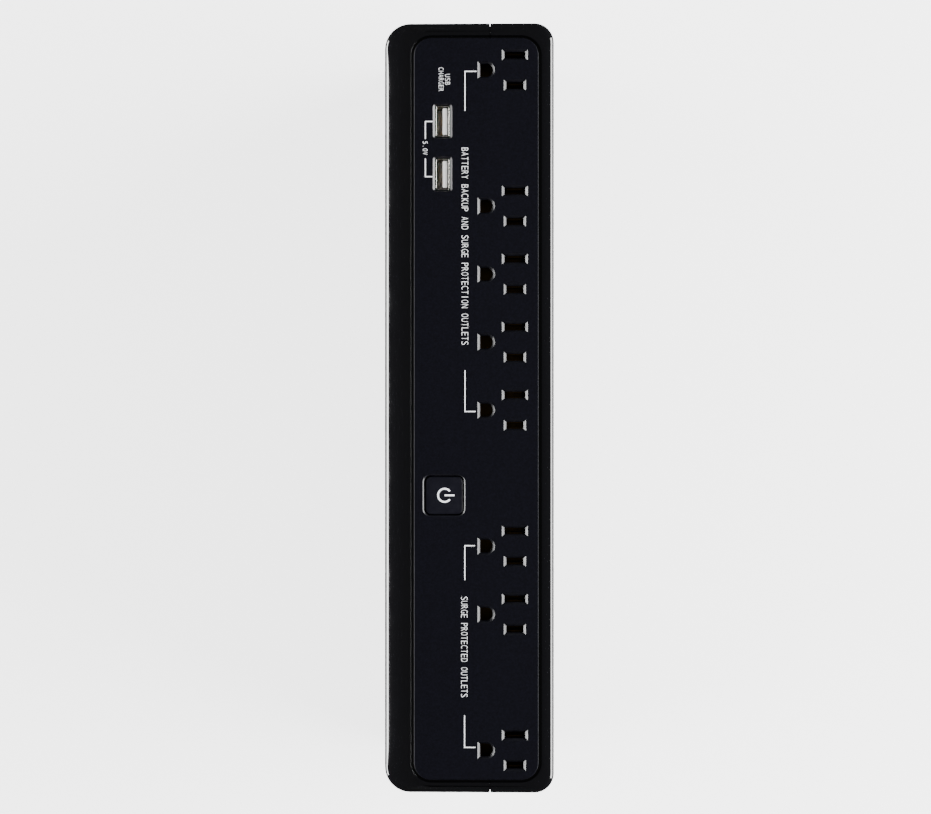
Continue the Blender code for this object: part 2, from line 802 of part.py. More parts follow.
def add_slot(bm, y, slot, play, top, low, funnel):
    """A blade slot as a closed form, with its lead-in chamfer where funnel is true."""
    width = slot[0] + 2 * play
    length = slot[1] + 2 * play
    rings = [
        block_ring(OUTLET_X, y, width, length, top - (FUNNEL_DEPTH if funnel else -PAST)),
        block_ring(OUTLET_X, y, width, length, low - PAST),
    ]
    if funnel:
        wide = width + 2 * FUNNEL_LONG
        long = length + 2 * FUNNEL_SIDE
        rings.insert(0, block_ring(OUTLET_X, y, wide, long, top))
        rings.insert(0, block_ring(OUTLET_X, y, wide, long, top + PAST))
    add_loft(bm, rings)


def add_outlet(bm, y, play, top, low, funnel):
    """The three openings of one outlet."""
    add_slot(bm, y + BLADE_SPACING / 2, NEUTRAL_SLOT, play, top, low, funnel)
    add_slot(bm, y - BLADE_SPACING / 2, LINE_SLOT, play, top, low, funnel)
    rings = [
        earth_ring(EARTH_X, y, play, play, top - (FUNNEL_DEPTH if funnel else -PAST)),
        earth_ring(EARTH_X, y, play, play, low - PAST),
    ]
    if funnel:
        rings.insert(0, earth_ring(EARTH_X, y, FUNNEL_LONG, FUNNEL_SIDE, top))
        rings.insert(0, earth_ring(EARTH_X, y, FUNNEL_LONG, FUNNEL_SIDE, top + PAST))
    add_loft(bm, rings)


def face_plate():
    """The matt outlet plate, with the openings for plugs, chargers and the button."""
    top = BODY_HEIGHT
    bm = bmesh.new()
    add_loft(
        bm,
        (
            plate_ring(-PLATE_CHAMFER, top),
            plate_ring(0, top - PLATE_CHAMFER),
            plate_ring(0, PLATE_LOW),
        ),
    )
    plate = piece("face_plate", bm, MATT_BLACK)

    posts = bmesh.new()
    usb_mid = sum(USB_YS) / 2
    usb_foot = usb_board_top() + GAP
    for x in (USB_X - 6.4 * MM, USB_X + 6.4 * MM):
        post_top = (x, usb_mid, PLATE_LOW + ROOT)
        add_cylinder(posts, post_top, (x, usb_mid, usb_foot), POST_RADIUS, 12)
    reach = BUTTON_SIZE[1] / 2 + BUTTON_FLANGE + POST_RADIUS + MM
    for y in (BUTTON_XY[1] - reach, BUTTON_XY[1] + reach):
        add_cylinder(
            posts,
            (BUTTON_XY[0], y, PLATE_LOW + ROOT),
            (BUTTON_XY[0], y, BUTTON_BOARD_Z + GAP),
            POST_RADIUS,
            12,
        )
    join(plate, helper("plate_posts", posts))

    holes = bmesh.new()
    for y in outlet_ys(BACKUP_STEPS + SURGE_STEPS):
        add_outlet(holes, y, 0, top, PLATE_LOW, True)
    for y in USB_YS:
        lead = 0.6 * MM
        add_loft(
            holes,
            (
                block_ring(USB_X, y, USB_RECESS[0], USB_RECESS[1], top + PAST),
                block_ring(USB_X, y, USB_RECESS[0], USB_RECESS[1], top),
                block_ring(
                    USB_X, y, USB_SHELL[0] + lead, USB_SHELL[1] + lead, top - USB_SINK
                ),
                block_ring(
                    USB_X, y, USB_SHELL[0] + lead, USB_SHELL[1] + lead, PLATE_LOW - PAST
                ),
            ),
        )
    chamfer = 0.5 * MM
    add_loft(
        holes,
        (
            button_ring(BUTTON_PLAY + chamfer, top + PAST),
            button_ring(BUTTON_PLAY + chamfer, top),
            button_ring(BUTTON_PLAY, top - chamfer),
            button_ring(BUTTON_PLAY, PLATE_LOW - PAST),
        ),
    )
    cut(plate, helper("plate_holes", holes))
    return plate


def button_ring(grow, z, centre=BUTTON_XY):
    half_x = BUTTON_SIZE[0] / 2 + grow
    half_y = BUTTON_SIZE[1] / 2 + grow
    return round_ring(
        (centre[0] - half_x, centre[0] + half_x),
        (centre[1] - half_y, centre[1] + half_y),
        z,
        [BUTTON_CORNER + grow] * 4,
        4,
    )


def usb_board_top():
    return BODY_HEIGHT - USB_SINK - USB_SHELL[2] - GAP


def outlet_block(name, steps):
    """An insulating block under the plate, open below, that houses one bank's contacts."""
    ys = outlet_ys(steps)
    low = (BLOCK_X[0], min(ys) - BLOCK_END, BLOCK_LOW)
    high = (BLOCK_X[1], max(ys) + BLOCK_END, BLOCK_HIGH)
    bm = bmesh.new()
    add_round_box(bm, low, high, BLOCK_CORNER, axis=2)
    block = piece(name, bm, BLOCK_GREY)
    room = bmesh.new()
    add_box(
        room,
        (low[0] + BLOCK_WALL, low[1] + BLOCK_WALL, low[2] - PAST),
        (high[0] - BLOCK_WALL, high[1] - BLOCK_WALL, high[2] - BLOCK_TOP),
    )
    cut(block, helper(name + "_room", room))
    ribs = bmesh.new()
    for y in ys:
        add_box(
            ribs,
            (OUTLET_X - CONTACT_WIDTH / 2, y - 0.75 * MM, BLOCK_LOW + 3 * MM),
            (OUTLET_X + CONTACT_WIDTH / 2, y + 0.75 * MM, BLOCK_HIGH - BLOCK_TOP + ROOT),
        )
    join(block, helper(name + "_ribs", ribs))
    holes = bmesh.new()
    for y in ys:
        add_outlet(holes, y, GAP, BLOCK_HIGH, BLOCK_HIGH - BLOCK_TOP, False)
    cut(block, helper(name + "_holes", holes))
    return block


def blade_bus(name, steps, slot_side, bus_x):
    """One pole's brass strip, with a pair of spring leaves under each slot."""
    ys = [y + slot_side * BLADE_SPACING / 2 for y in outlet_ys(steps)]
    low = BLOCK_LOW + GAP
    reach = CONTACT_GAP / 2 + CONTACT_THICK
    strip = bmesh.new()
    add_box(
        strip,
        (bus_x, min(ys) - reach, low),
        (bus_x + CONTACT_THICK, max(ys) + reach, low + BUS_HEIGHT),
    )
    bus = piece(name, strip, BRASS)
    inner = OUTLET_X - CONTACT_WIDTH / 2
    outer = OUTLET_X + CONTACT_WIDTH / 2
    feet = bmesh.new()
    for y in ys:
        add_box(
            feet,
            (min(inner, bus_x + CONTACT_THICK / 4), y - reach + 0.1 * MM, low),
            (
                max(outer, bus_x + CONTACT_THICK * 3 / 4),
                y + reach - 0.1 * MM,
                low + CONTACT_THICK,
            ),
        )
    join(bus, helper(name + "_feet", feet))
    leaves = bmesh.new()
    for y in ys:
        for side in (-1, 1):
            near = y + side * CONTACT_GAP / 2
            far = near + side * CONTACT_THICK
            add_box(
                leaves,
                (inner + 0.1 * MM, min(near, far), low + CONTACT_THICK / 2),
                (outer - 0.1 * MM, max(near, far), low + CONTACT_HEIGHT),
            )
    join(bus, helper(name + "_leaves", leaves))
    return bus


def earth_bus(name, steps):
    """The earth strip, with two leaves beside each round pin."""
    ys = outlet_ys(steps)
    low = BLOCK_LOW + GAP
    reach = EARTH_LEAF_GAP / 2 + CONTACT_THICK
    strip = bmesh.new()
    add_box(
        strip,
        (EARTH_X - reach, min(ys) - EARTH_LEAF_WIDTH, low),
        (EARTH_X + reach, max(ys) + EARTH_LEAF_WIDTH, low + CONTACT_THICK),
    )
    bus = piece(name, strip, BRASS)
    leaves = bmesh.new()
    for y in ys:
        for side in (-1, 1):
            near = EARTH_X + side * EARTH_LEAF_GAP / 2
            far = near + side * CONTACT_THICK
            add_box(
                leaves,
                (min(near, far), y - EARTH_LEAF_WIDTH / 2, low + CONTACT_THICK / 2),
                (max(near, far), y + EARTH_LEAF_WIDTH / 2, low + CONTACT_HEIGHT),
            )
    join(bus, helper(name + "_leaves", leaves))
    return bus


def outlets():
    neutral_x = EARTH_X + EARTH_RADIUS + FUNNEL_LONG + MM
    line_x = BLOCK_X[1] - BLOCK_WALL - GAP - CONTACT_THICK
    for bank, steps in (("backup", BACKUP_STEPS), ("surge", SURGE_STEPS)):
        outlet_block(bank + "_outlet_block", steps)
        blade_bus(bank + "_neutral_bus", steps, 1, neutral_x)
        blade_bus(bank + "_line_bus", steps, -1, line_x)
        earth_bus(bank + "_earth_bus", steps)


def usb_charger():
    """Two receptacles that stand on the charger's board."""
    board_top = usb_board_top()
    board = bmesh.new()
    add_box(
        board,
        (USB_X - 9 * MM, min(USB_YS) - 11 * MM, board_top - BOARD_THICK),
        (USB_X + 9 * MM, max(USB_YS) + 11 * MM, board_top),
    )
    piece("usb_charger_board", board, BOARD_GREEN)
    width, length, depth = USB_SHELL
    wall = USB_SHELL_WALL
    for i, y in enumerate(USB_YS, 1):
        tube = bmesh.new()
        add_box(tube, (-width / 2, -length / 2, 0), (width / 2, length / 2, depth))
        shell = piece(f"usb_shell_{i}", tube, NICKEL, (USB_X, y, board_top + GAP))
        room = bmesh.new()
        add_box(
            room,
            (-width / 2 + wall, -length / 2 + wall, -PAST),
            (width / 2 - wall, length / 2 - wall, depth + PAST),
        )
        cut(shell, helper(f"usb_room_{i}", room, (USB_X, y, board_top + GAP)))
        base = bmesh.new()
        inset = wall + GAP
        add_box(
            base,
            (-width / 2 + inset, -length / 2 + inset, 0),
            (width / 2 - inset, length / 2 - inset, USB_BASE_HEIGHT),
        )
        tongue = piece(f"usb_tongue_{i}", base, WHITE_PLASTIC, (USB_X, y, board_top + GAP))
        blade = bmesh.new()
        thick, breadth, reach = USB_TONGUE
        add_box(
            blade,
            (USB_TONGUE_SHIFT - thick / 2, -breadth / 2, USB_BASE_HEIGHT - ROOT),
            (USB_TONGUE_SHIFT + thick / 2, breadth / 2, USB_BASE_HEIGHT + reach),
        )
        join(tongue, helper(f"usb_blade_{i}", blade, (USB_X, y, board_top + GAP)))


def power_button():
    """The cap, kept in the plate by a flange, and the switch that its stem presses."""
    x, y = BUTTON_XY
    top = BODY_HEIGHT - BUTTON_SINK
    flange_top = PLATE_LOW - GAP
    soft = 0.5 * MM
    bm = bmesh.new()
    add_loft(
        bm,
        (
            button_ring(-soft, 0, (0, 0)),
            button_ring(0, -soft, (0, 0)),
            button_ring(0, flange_top - top, (0, 0)),
            button_ring(BUTTON_FLANGE, flange_top - top, (0, 0)),
            button_ring(BUTTON_FLANGE, flange_top - top - BUTTON_FLANGE_THICK, (0, 0)),
        ),
    )
    cap = piece("power_button", bm, BUTTON_BLACK, (x, y, top))
    body_top = BUTTON_BOARD_Z + GAP + SWITCH_SIZE[2]
    plunger_top = body_top + PLUNGER_SHOWS
    stem = bmesh.new()
    add_cylinder(
        stem,
        (0, 0, flange_top - top - ROOT),
        (0, 0, plunger_top + GAP - top),
        STEM_RADIUS,
        16,
    )
    join(cap, helper("button_stem", stem, (x, y, top)))

    board = bmesh.new()
    reach = BUTTON_SIZE[1] / 2 + BUTTON_FLANGE + 2 * POST_RADIUS + 2 * MM
    add_box(
        board,
        (x - 9 * MM, y - reach, BUTTON_BOARD_Z - BOARD_THICK),
        (x + 9 * MM, y + reach, BUTTON_BOARD_Z),
    )
    piece("button_board", board, BOARD_GREEN)

    half = SWITCH_SIZE[0] / 2
    body = bmesh.new()
    add_box(body, (-half, -half, 0), (half, half, SWITCH_SIZE[2]))
    switch = piece("power_switch_body", body, DARK_PLASTIC, (x, y, BUTTON_BOARD_Z + GAP))
    bore = bmesh.new()
    add_cylinder(
        bore,
        (0, 0, SWITCH_SIZE[2] - BUTTON_TRAVEL - 2 * GAP - MM),
        (0, 0, SWITCH_SIZE[2] + PAST),
        PLUNGER_RADIUS + GAP,
        16,
    )
    cut(switch, helper("switch_bore", bore, (x, y, BUTTON_BOARD_Z + GAP)))
    plunger = bmesh.new()
    add_cylinder(plunger, (0, 0, -PLUNGER_SHOWS - MM), (0, 0, 0), PLUNGER_RADIUS, 16)
    piece("power_switch_plunger", plunger, SWITCH_GREY, (x, y, plunger_top), smooth=True)

    turned(
        "power_led",
        [(0, 3.4 * MM), (0.9 * MM, 3 * MM), (1.5 * MM, 1.8 * MM), (1.5 * MM, 0), (0, 0)],
        CLEAR_GREEN,
        (x + 6.5 * MM, y, BUTTON_BOARD_Z + GAP),
        steps=12,
    )


def battery():
    """The sealed battery, its tabs, and the leads to the main board."""
    x_low = BATTERY_X - BATTERY[0] / 2
    x_high = BATTERY_X + BATTERY[0] / 2
    bm = bmesh.new()
    add_round_box(
        bm,
        (x_low, BATTERY_BACK, BATTERY_LOW),
        (x_high, BATTERY_FRONT, BATTERY_TOP),
        1.5 * MM,
        axis=2,
        steps=2,
    )
    piece("battery_case", bm, BATTERY_GREY)
    tab_y = BATTERY_BACK + TAB_INSET
    for name, x, cover, board_x in (
        ("red", x_low + TAB_INSET, LEAD_RED, -16 * MM),
        ("black", x_high - TAB_INSET, LEAD_BLACK, 16 * MM),
    ):
        tab = bmesh.new()
        thick, width, height = TAB
        add_box(tab, (-thick / 2, -width / 2, 0), (thick / 2, width / 2, height))
        place = (x, tab_y, BATTERY_TOP + GAP)
        piece(f"battery_tab_{name}", tab, TINNED, place)
        sleeve = bmesh.new()
        add_box(sleeve, (-2.2 * MM, -4.6 * MM, MM), (2.2 * MM, 4.6 * MM, height + 2 * MM))
        plug = piece(f"battery_connector_{name}", sleeve, cover, place)
        room = bmesh.new()
        add_box(
            room,
            (-thick / 2 - GAP, -width / 2 - GAP, 0),
            (thick / 2 + GAP, width / 2 + GAP, height + GAP),
        )
        cut(plug, helper(f"connector_room_{name}", room, place))
        z = BATTERY_TOP + GAP + height / 2 + MM
        fall = z - BOARD_TOP
        wire(
            f"battery_lead_{name}",
            [
                (x, tab_y - 4.6 * MM - GAP, z),
                (x, tab_y - 12 * MM, z),
                (x * 0.9 + board_x * 0.1, SCREW_MID_Y, z),
                (x * 0.4 + board_x * 0.6, BOARD_Y[1] - 2 * MM, z - fall * 0.22),
                (board_x, BOARD_Y[1] - 8 * MM, z - fall * 0.65),
                (board_x, BOARD_Y[1] - 8 * MM, BOARD_TOP + GAP),
            ],
            LEAD_RADIUS,
            cover,
        )


def battery_door():
    """The side door over the battery, with its captive screw."""
    bm = bmesh.new()
    door_box(bm, 0, -HALF_WIDTH, DOOR_BACK_X)
    door = piece("battery_door", bm, GLOSS_BLACK)
    cup = bmesh.new()
    cup_back = DOOR_BACK_X + 2 * MM
    add_cylinder(
        cup,
        (DOOR_BACK_X - ROOT, DOOR_SCREW_Y, DOOR_SCREW_Z),
        (cup_back, DOOR_SCREW_Y, DOOR_SCREW_Z),
        DOOR_CUP_RADIUS,
    )
    join(door, helper("door_cup", cup))
    holes = bmesh.new()
    floor = 1.2 * MM
    add_cylinder(
        holes,
        (-HALF_WIDTH - PAST, DOOR_SCREW_Y, DOOR_SCREW_Z),
        (cup_back - floor, DOOR_SCREW_Y, DOOR_SCREW_Z),
        SCREW_HEAD[0] + GAP,
        16,
    )
    grip_y = BATTERY_FRONT - 9 * MM
    add_round_box(
        holes,
        (-HALF_WIDTH - PAST, grip_y - 4 * MM, DOOR_SCREW_Z - 14 * MM),
        (-HALF_WIDTH + 0.7 * MM, grip_y + 4 * MM, DOOR_SCREW_Z + 14 * MM),
        3.9 * MM,
        axis=0,
    )
    cut(door, helper("door_holes", holes))
    bore = bmesh.new()
    add_cylinder(
        bore,
        (cup_back - floor - PAST, DOOR_SCREW_Y, DOOR_SCREW_Z),
        (cup_back + PAST, DOOR_SCREW_Y, DOOR_SCREW_Z),
        SCREW_RADIUS + SCREW_PLAY,
        12,
    )
    cut(door, helper("door_bore", bore))
    screw(
        "door_screw",
        8 * MM,
        (cup_back - floor - GAP, DOOR_SCREW_Y, DOOR_SCREW_Z),
        (0, -math.pi / 2, 0),
    )


def screw(name, length, place, turn):
    """A pan-head screw. Its origin is under the head, and its own +Z leaves the head."""
    head, height = SCREW_HEAD
    turned(
        name,
        [
            (0, height),
            (head * 0.7, height),
            (head, height * 0.6),
            (head, 0),
            (SCREW_RADIUS, 0),
            (SCREW_RADIUS, -length + MM),
            (SCREW_RADIUS * 0.4, -length),
            (0, -length),
        ],
        ZINC,
        place,
        turn,
        steps=12,
    )


def housing_screws():
    under_head = HALF_WIDTH - HEAD_SINK - SCREW_HEAD[1]
    for i, (y, z) in enumerate(SCREW_SPOTS, 1):
        screw(f"housing_screw_{i}", SCREW_LENGTH, (under_head, y, z), (0, math.pi / 2, 0))


def feet():
    names = {
        (-1, -1): "foot_left_tail",
        (1, -1): "foot_right_tail",
        (-1, 1): "foot_left_head",
        (1, 1): "foot_right_head",
    }
    top = FOOT_HEIGHT + FOOT_SEAT - GAP
    for (side, end), name in names.items():
        turned(
            name,
            [
                (0, top),
                (FOOT_RADIUS, top),
                (FOOT_RADIUS, 0.7 * MM),
                (FOOT_RADIUS - 0.7 * MM, 0),
                (0, 0),
            ],
            RUBBER,
            (side * FOOT_X, end * FOOT_Y, 0),
            steps=24,
        )


def transformer():
    """Laminated core, winding round its middle leg, and the strap that holds it down."""
    low = Vector((-CORE[0] / 2, -CORE[1] / 2, 0))
    place = (0, CORE_Y, CORE_LOW)
    core_bm = bmesh.new()
    add_box(core_bm, low, (CORE[0] / 2, CORE[1] / 2, CORE[2]))
    core = piece("transformer_core", core_bm, LAMINATION, place)
    windows = bmesh.new()
    yoke = (CORE[2] - CORE_WINDOW[1]) / 2
    for side in (-1, 1):
        near = side * CORE_LEG / 2
        far = side * (CORE_LEG / 2 + CORE_WINDOW[0])
        add_box(
            windows,
            (-CORE[0] / 2 - PAST, min(near, far), yoke),
            (CORE[0] / 2 + PAST, max(near, far), CORE[2] - yoke),
        )
    cut(core, helper("core_windows", windows, place))

    coil = bmesh.new()
    reach = CORE_LEG / 2 + CORE_WINDOW[0] - GAP
    add_round_box(
        coil,
        (-WINDING_WIDTH / 2, -reach, yoke + GAP),
        (WINDING_WIDTH / 2, reach, CORE[2] - yoke - GAP),
        5 * MM,
        axis=2,
    )
    winding = piece("transformer_winding", coil, WINDING_AMBER, place)
    leg = bmesh.new()
    add_box(
        leg,
        (-CORE[0] / 2 - GAP, -CORE_LEG / 2 - GAP, 0),
        (CORE[0] / 2 + GAP, CORE_LEG / 2 + GAP, CORE[2]),
    )
    cut(winding, helper("winding_leg", leg, place))

    strap_bm = bmesh.new()
    side = CORE[1] / 2 + GAP
    wide = BRACKET_WIDTH / 2
    add_box(
        strap_bm,
        (-wide, -side - BRACKET_THICK - BRACKET_FOOT, 0),
        (wide, side + BRACKET_THICK + BRACKET_FOOT, CORE[2] + GAP + BRACKET_THICK),
    )
    strap = piece("transformer_strap", strap_bm, ZINC, place)
    away = bmesh.new()
    add_box(
        away,
        (-wide - PAST, -side, -PAST),
        (wide + PAST, side, CORE[2] + GAP),
    )
    for end in (-1, 1):
        near = end * (side + BRACKET_THICK)
        far = end * (side + BRACKET_THICK + BRACKET_FOOT + PAST)
        add_box(
            away,
            (-wide - PAST, min(near, far), BRACKET_THICK),
            (wide + PAST, max(near, far), CORE[2] + 2 * PAST),
        )
    cut(strap, helper("strap_away", away, place))


def heatsink():
    """A finned extrusion that stands on the main board."""
    length = 52 * MM
    height = 24 * MM
    base = 3 * MM
    fin = 1.4 * MM
    depth = 13 * MM
    count = 6
    outline = [(0.0, 0.0)]
    pitch = (length - fin) / (count - 1)
    for i in range(count):
        y = i * pitch
        outline += [(base, y), (depth, y), (depth, y + fin), (base, y + fin)]
    outline = [outline[0], *outline[2:-1], (0.0, length)]
    curve = bpy.data.curves.new("heatsink", "CURVE")
    curve.dimensions = "2D"
    curve.fill_mode = "BOTH"
    curve.extrude = height / 2
    curve.materials.append(ALUMINIUM)
    line = curve.splines.new("POLY")
    line.points.add(len(outline) - 1)
    line.use_cyclic_u = True
    for point, (x, y) in zip(line.points, outline):
        point.co = (x, y, 0, 1)
    place = (-14 * MM, BOARD_Y[0] + 12 * MM, BOARD_TOP + GAP + height / 2)
    obj = link_object("heatsink", curve, PARTS, place, (0, 0, 0))
    obj.parent = FRAME
    for i in (1, 2):
        bm = bmesh.new()
        add_box(bm, (-4.5 * MM, -5 * MM, 0), (0, 5 * MM, 15 * MM))
        spot = (-14 * MM - GAP, place[1] + length * (i - 0.5) / 2, BOARD_TOP + 3 * MM)
        piece(f"power_transistor_{i}", bm, DARK_PLASTIC, spot)


def board_parts():
    """The main board, which holds the inverter, the relays and the surge parts."""
    bm = bmesh.new()
    add_box(bm, (-BOARD_X, BOARD_Y[0], BOARD_Z), (BOARD_X, BOARD_Y[1], BOARD_TOP))
    piece("main_circuit_board", bm, BOARD_GREEN)
    heatsink()
    base = BOARD_TOP + GAP
    tail, head = BOARD_Y
    for i, y in enumerate((head - 26 * MM, head - 42 * MM), 1):
        can = 6.5 * MM
        turned(
            f"filter_capacitor_{i}",
            [(0, 25 * MM), (can - MM, 25 * MM), (can, 24 * MM), (can, 0), (0, 0)],
            CAPACITOR_BLUE,
            (-18 * MM, y, base),
            steps=16,
        )
    for i, y in enumerate((tail + 12 * MM, tail + 36 * MM), 1):
        relay = bmesh.new()
        add_box(relay, (-8 * MM, -10 * MM, 0), (8 * MM, 10 * MM, 16 * MM))
        piece(f"transfer_relay_{i}", relay, RELAY_BLACK, (18 * MM, y, base))
    for i, y in enumerate((head - 60 * MM, head - 50 * MM), 1):
        disc = 7 * MM
        thick = 4 * MM
        turned(
            f"surge_varistor_{i}",
            [
                (0, thick),
                (disc - MM, thick),
                (disc, thick - MM),
                (disc, MM),
                (disc - MM, 0),
                (0, 0),
            ],
            VARISTOR_BLUE,
            (20 * MM, y, base + disc + MM),
            (math.pi / 2, 0, 0),
            steps=16,
        )
    turned(
        "line_fuse",
        [(0, 20 * MM), (2.6 * MM, 20 * MM), (2.6 * MM, 0), (0, 0)],
        FUSE_GLASS,
        (3 * MM, head - 22 * MM, base + 4 * MM),
        (math.pi / 2, 0, 0),
        steps=12,
    )
    ring = bmesh.new()
    add_cylinder(ring, (0, 0, 0), (0, 0, 9 * MM), 9 * MM, 20)
    choke_place = (18 * MM, head - 32 * MM, base)
    choke = piece("line_choke", ring, CHOKE_GREEN, choke_place, smooth=True)
    eye = bmesh.new()
    add_cylinder(eye, (0, 0, -PAST), (0, 0, 10 * MM), 4 * MM, 20)
    cut(choke, helper("choke_eye", eye, choke_place))
    drum = 6 * MM
    tall = 8 * MM
    port = 1.2 * MM
    port_depth = 2 * MM
    turned(
        "alarm_buzzer",
        [
            (port, tall),
            (drum, tall),
            (drum, 0),
            (0, 0),
            (0, tall - port_depth),
            (port, tall - port_depth),
            (port, tall),
        ],
        DARK_PLASTIC,
        (2 * MM, head - 12 * MM, base),
        steps=20,
    )


def breaker():
    """The push-to-reset breaker: body with its neck, nut and button."""
    wall_in = POCKET_FLOOR_Y + WALL + GAP
    wide, deep, tall = BREAKER_BODY
    place = (SERVICE_X, wall_in, BREAKER_Z)
    bm = bmesh.new()
    add_box(bm, (-wide / 2, 0, -tall / 2), (wide / 2, deep, tall / 2))
    body = piece("breaker_body", bm, DARK_PLASTIC, place)
    neck_end = POCKET_FLOOR_Y - 2.6 * MM - wall_in
    neck = bmesh.new()
    add_cylinder(neck, (0, neck_end, 0), (0, ROOT, 0), BREAKER_NECK, 24)
    join(body, helper("breaker_neck", neck, place))
    bore_end = 8 * MM
    bore = bmesh.new()
    add_cylinder(bore, (0, neck_end - PAST, 0), (0, bore_end, 0), BREAKER_BUTTON + GAP, 20)
    cut(body, helper("breaker_bore", bore, place))

    nut = bmesh.new()
    nut_place = (SERVICE_X, POCKET_FLOOR_Y - GAP, BREAKER_Z)
    add_cylinder(nut, (0, -2 * MM, 0), (0, 0, 0), 8 * MM, 6)
    ring = piece("breaker_nut", nut, ZINC, nut_place)
    eye = bmesh.new()
    add_cylinder(eye, (0, -2 * MM - PAST, 0), (0, PAST, 0), BREAKER_NECK + GAP, 24)
    cut(ring, helper("nut_eye", eye, nut_place))

    face_y = -HALF_LENGTH + 0.4 * MM
    depth = wall_in + bore_end - GAP - face_y
    turned(
        "breaker_reset_button",
        [
            (0, 0),
            (BREAKER_BUTTON - 0.6 * MM, 0),
            (BREAKER_BUTTON, -0.6 * MM),
            (BREAKER_BUTTON, -depth),
            (0, -depth),
        ],
        BREAKER_WHITE,
        (SERVICE_X, face_y, BREAKER_Z),
        (math.pi / 2, 0, 0),
        steps=20,
    )


def cord_gland():
    """The bushing that the mains cord enters by."""
    outer = 2 * MM
    inner = WALL + 5 * MM
    turned(
        "cord_gland",
        [
            (GLAND_BORE, outer),
            (GLAND_FLANGE - MM, outer),
            (GLAND_FLANGE, outer - MM),
            (GLAND_FLANGE, 0),
            (GLAND_RADIUS, 0),
            (GLAND_RADIUS, -inner),
            (GLAND_BORE, -inner),
            (GLAND_BORE, outer),
        ],
        RUBBER,
        (SERVICE_X, POCKET_FLOOR_Y - GAP, GLAND_Z),
        (math.pi / 2, 0, 0),
        steps=24,
    )


clear_scene()
PARTS = new_collection("uninterruptible_power_supply")
CUTTERS = new_collection("cutters")
FRAME = link_object("power_supply_frame", None, PARTS, (0, 0, 0), (0, 0, 0))

GLOSS_BLACK = finish_of("gloss_black_housing", (0.007, 0.007, 0.008), 0.12)
MATT_BLACK = finish_of("matt_black_plate", (0.008, 0.008, 0.010), 0.55)
BUTTON_BLACK = finish_of("satin_black_button", (0.010, 0.010, 0.013), 0.4)
BLOCK_GREY = finish_of("outlet_block_black", (0.012, 0.012, 0.012), 0.6)
DARK_PLASTIC = finish_of("component_black", (0.02, 0.02, 0.02), 0.5)
RELAY_BLACK = finish_of("relay_black", (0.025, 0.025, 0.03), 0.35)
SWITCH_GREY = finish_of("switch_grey", (0.3, 0.3, 0.3), 0.5)
WHITE_PLASTIC = finish_of("usb_tongue_white", (0.8, 0.8, 0.78), 0.4)
BREAKER_WHITE = finish_of("breaker_white", (0.75, 0.74, 0.7), 0.4)
BATTERY_GREY = finish_of("battery_grey", (0.12, 0.13, 0.14), 0.5)
BOARD_GREEN = finish_of("circuit_board_green", (0.02, 0.12, 0.05), 0.45)
CAPACITOR_BLUE = finish_of("capacitor_sleeve", (0.02, 0.03, 0.12), 0.35)
VARISTOR_BLUE = finish_of("varistor_blue", (0.03, 0.09, 0.32), 0.45)
CHOKE_GREEN = finish_of("choke_green", (0.05, 0.14, 0.08), 0.5)
WINDING_AMBER = finish_of("winding_tape", (0.5, 0.32, 0.05), 0.4)
LEAD_RED = finish_of("lead_red", (0.45, 0.02, 0.02), 0.45)
LEAD_BLACK = finish_of("lead_black", (0.012, 0.012, 0.012), 0.45)
FUSE_GLASS = finish_of("fuse_glass", (0.6, 0.65, 0.65), 0.1)
CLEAR_GREEN = finish_of("led_green", (0.1, 0.5, 0.15), 0.15)
RUBBER = finish_of("black_rubber", (0.015, 0.015, 0.015), 0.8)
BRASS = finish_of("contact_brass", (0.6, 0.45, 0.18), 0.35, 1.0)
NICKEL = finish_of("usb_nickel", (0.62, 0.6, 0.57), 0.25, 1.0)
TINNED = finish_of("tinned_tab", (0.6, 0.6, 0.6), 0.35, 1.0)
ZINC = finish_of("zinc_plate", (0.55, 0.56, 0.58), 0.4, 1.0)
ALUMINIUM = finish_of("heatsink_aluminium", (0.6, 0.6, 0.62), 0.4, 1.0)
LAMINATION = finish_of("core_steel", (0.12, 0.12, 0.13), 0.5, 1.0)

FORM = housing_form()
INNER = helper("housing_inside", inner_form())
SEAT = helper("plate_seat", plate_seat())
left_shell(FORM)
right_shell(FORM)
face_plate()
outlets()
usb_charger()
power_button()
battery()
battery_door()
housing_screws()
feet()
transformer()
board_parts()
breaker()
cord_gland()
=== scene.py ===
"""Looks of a slim uninterruptible power supply, built round its CAD frame.

Laid out as a Blender add-on and run as a script. Metres, +Z up: the outlets look up, the
length runs along Y, and the blade slots are on the +X side.
"""

import math

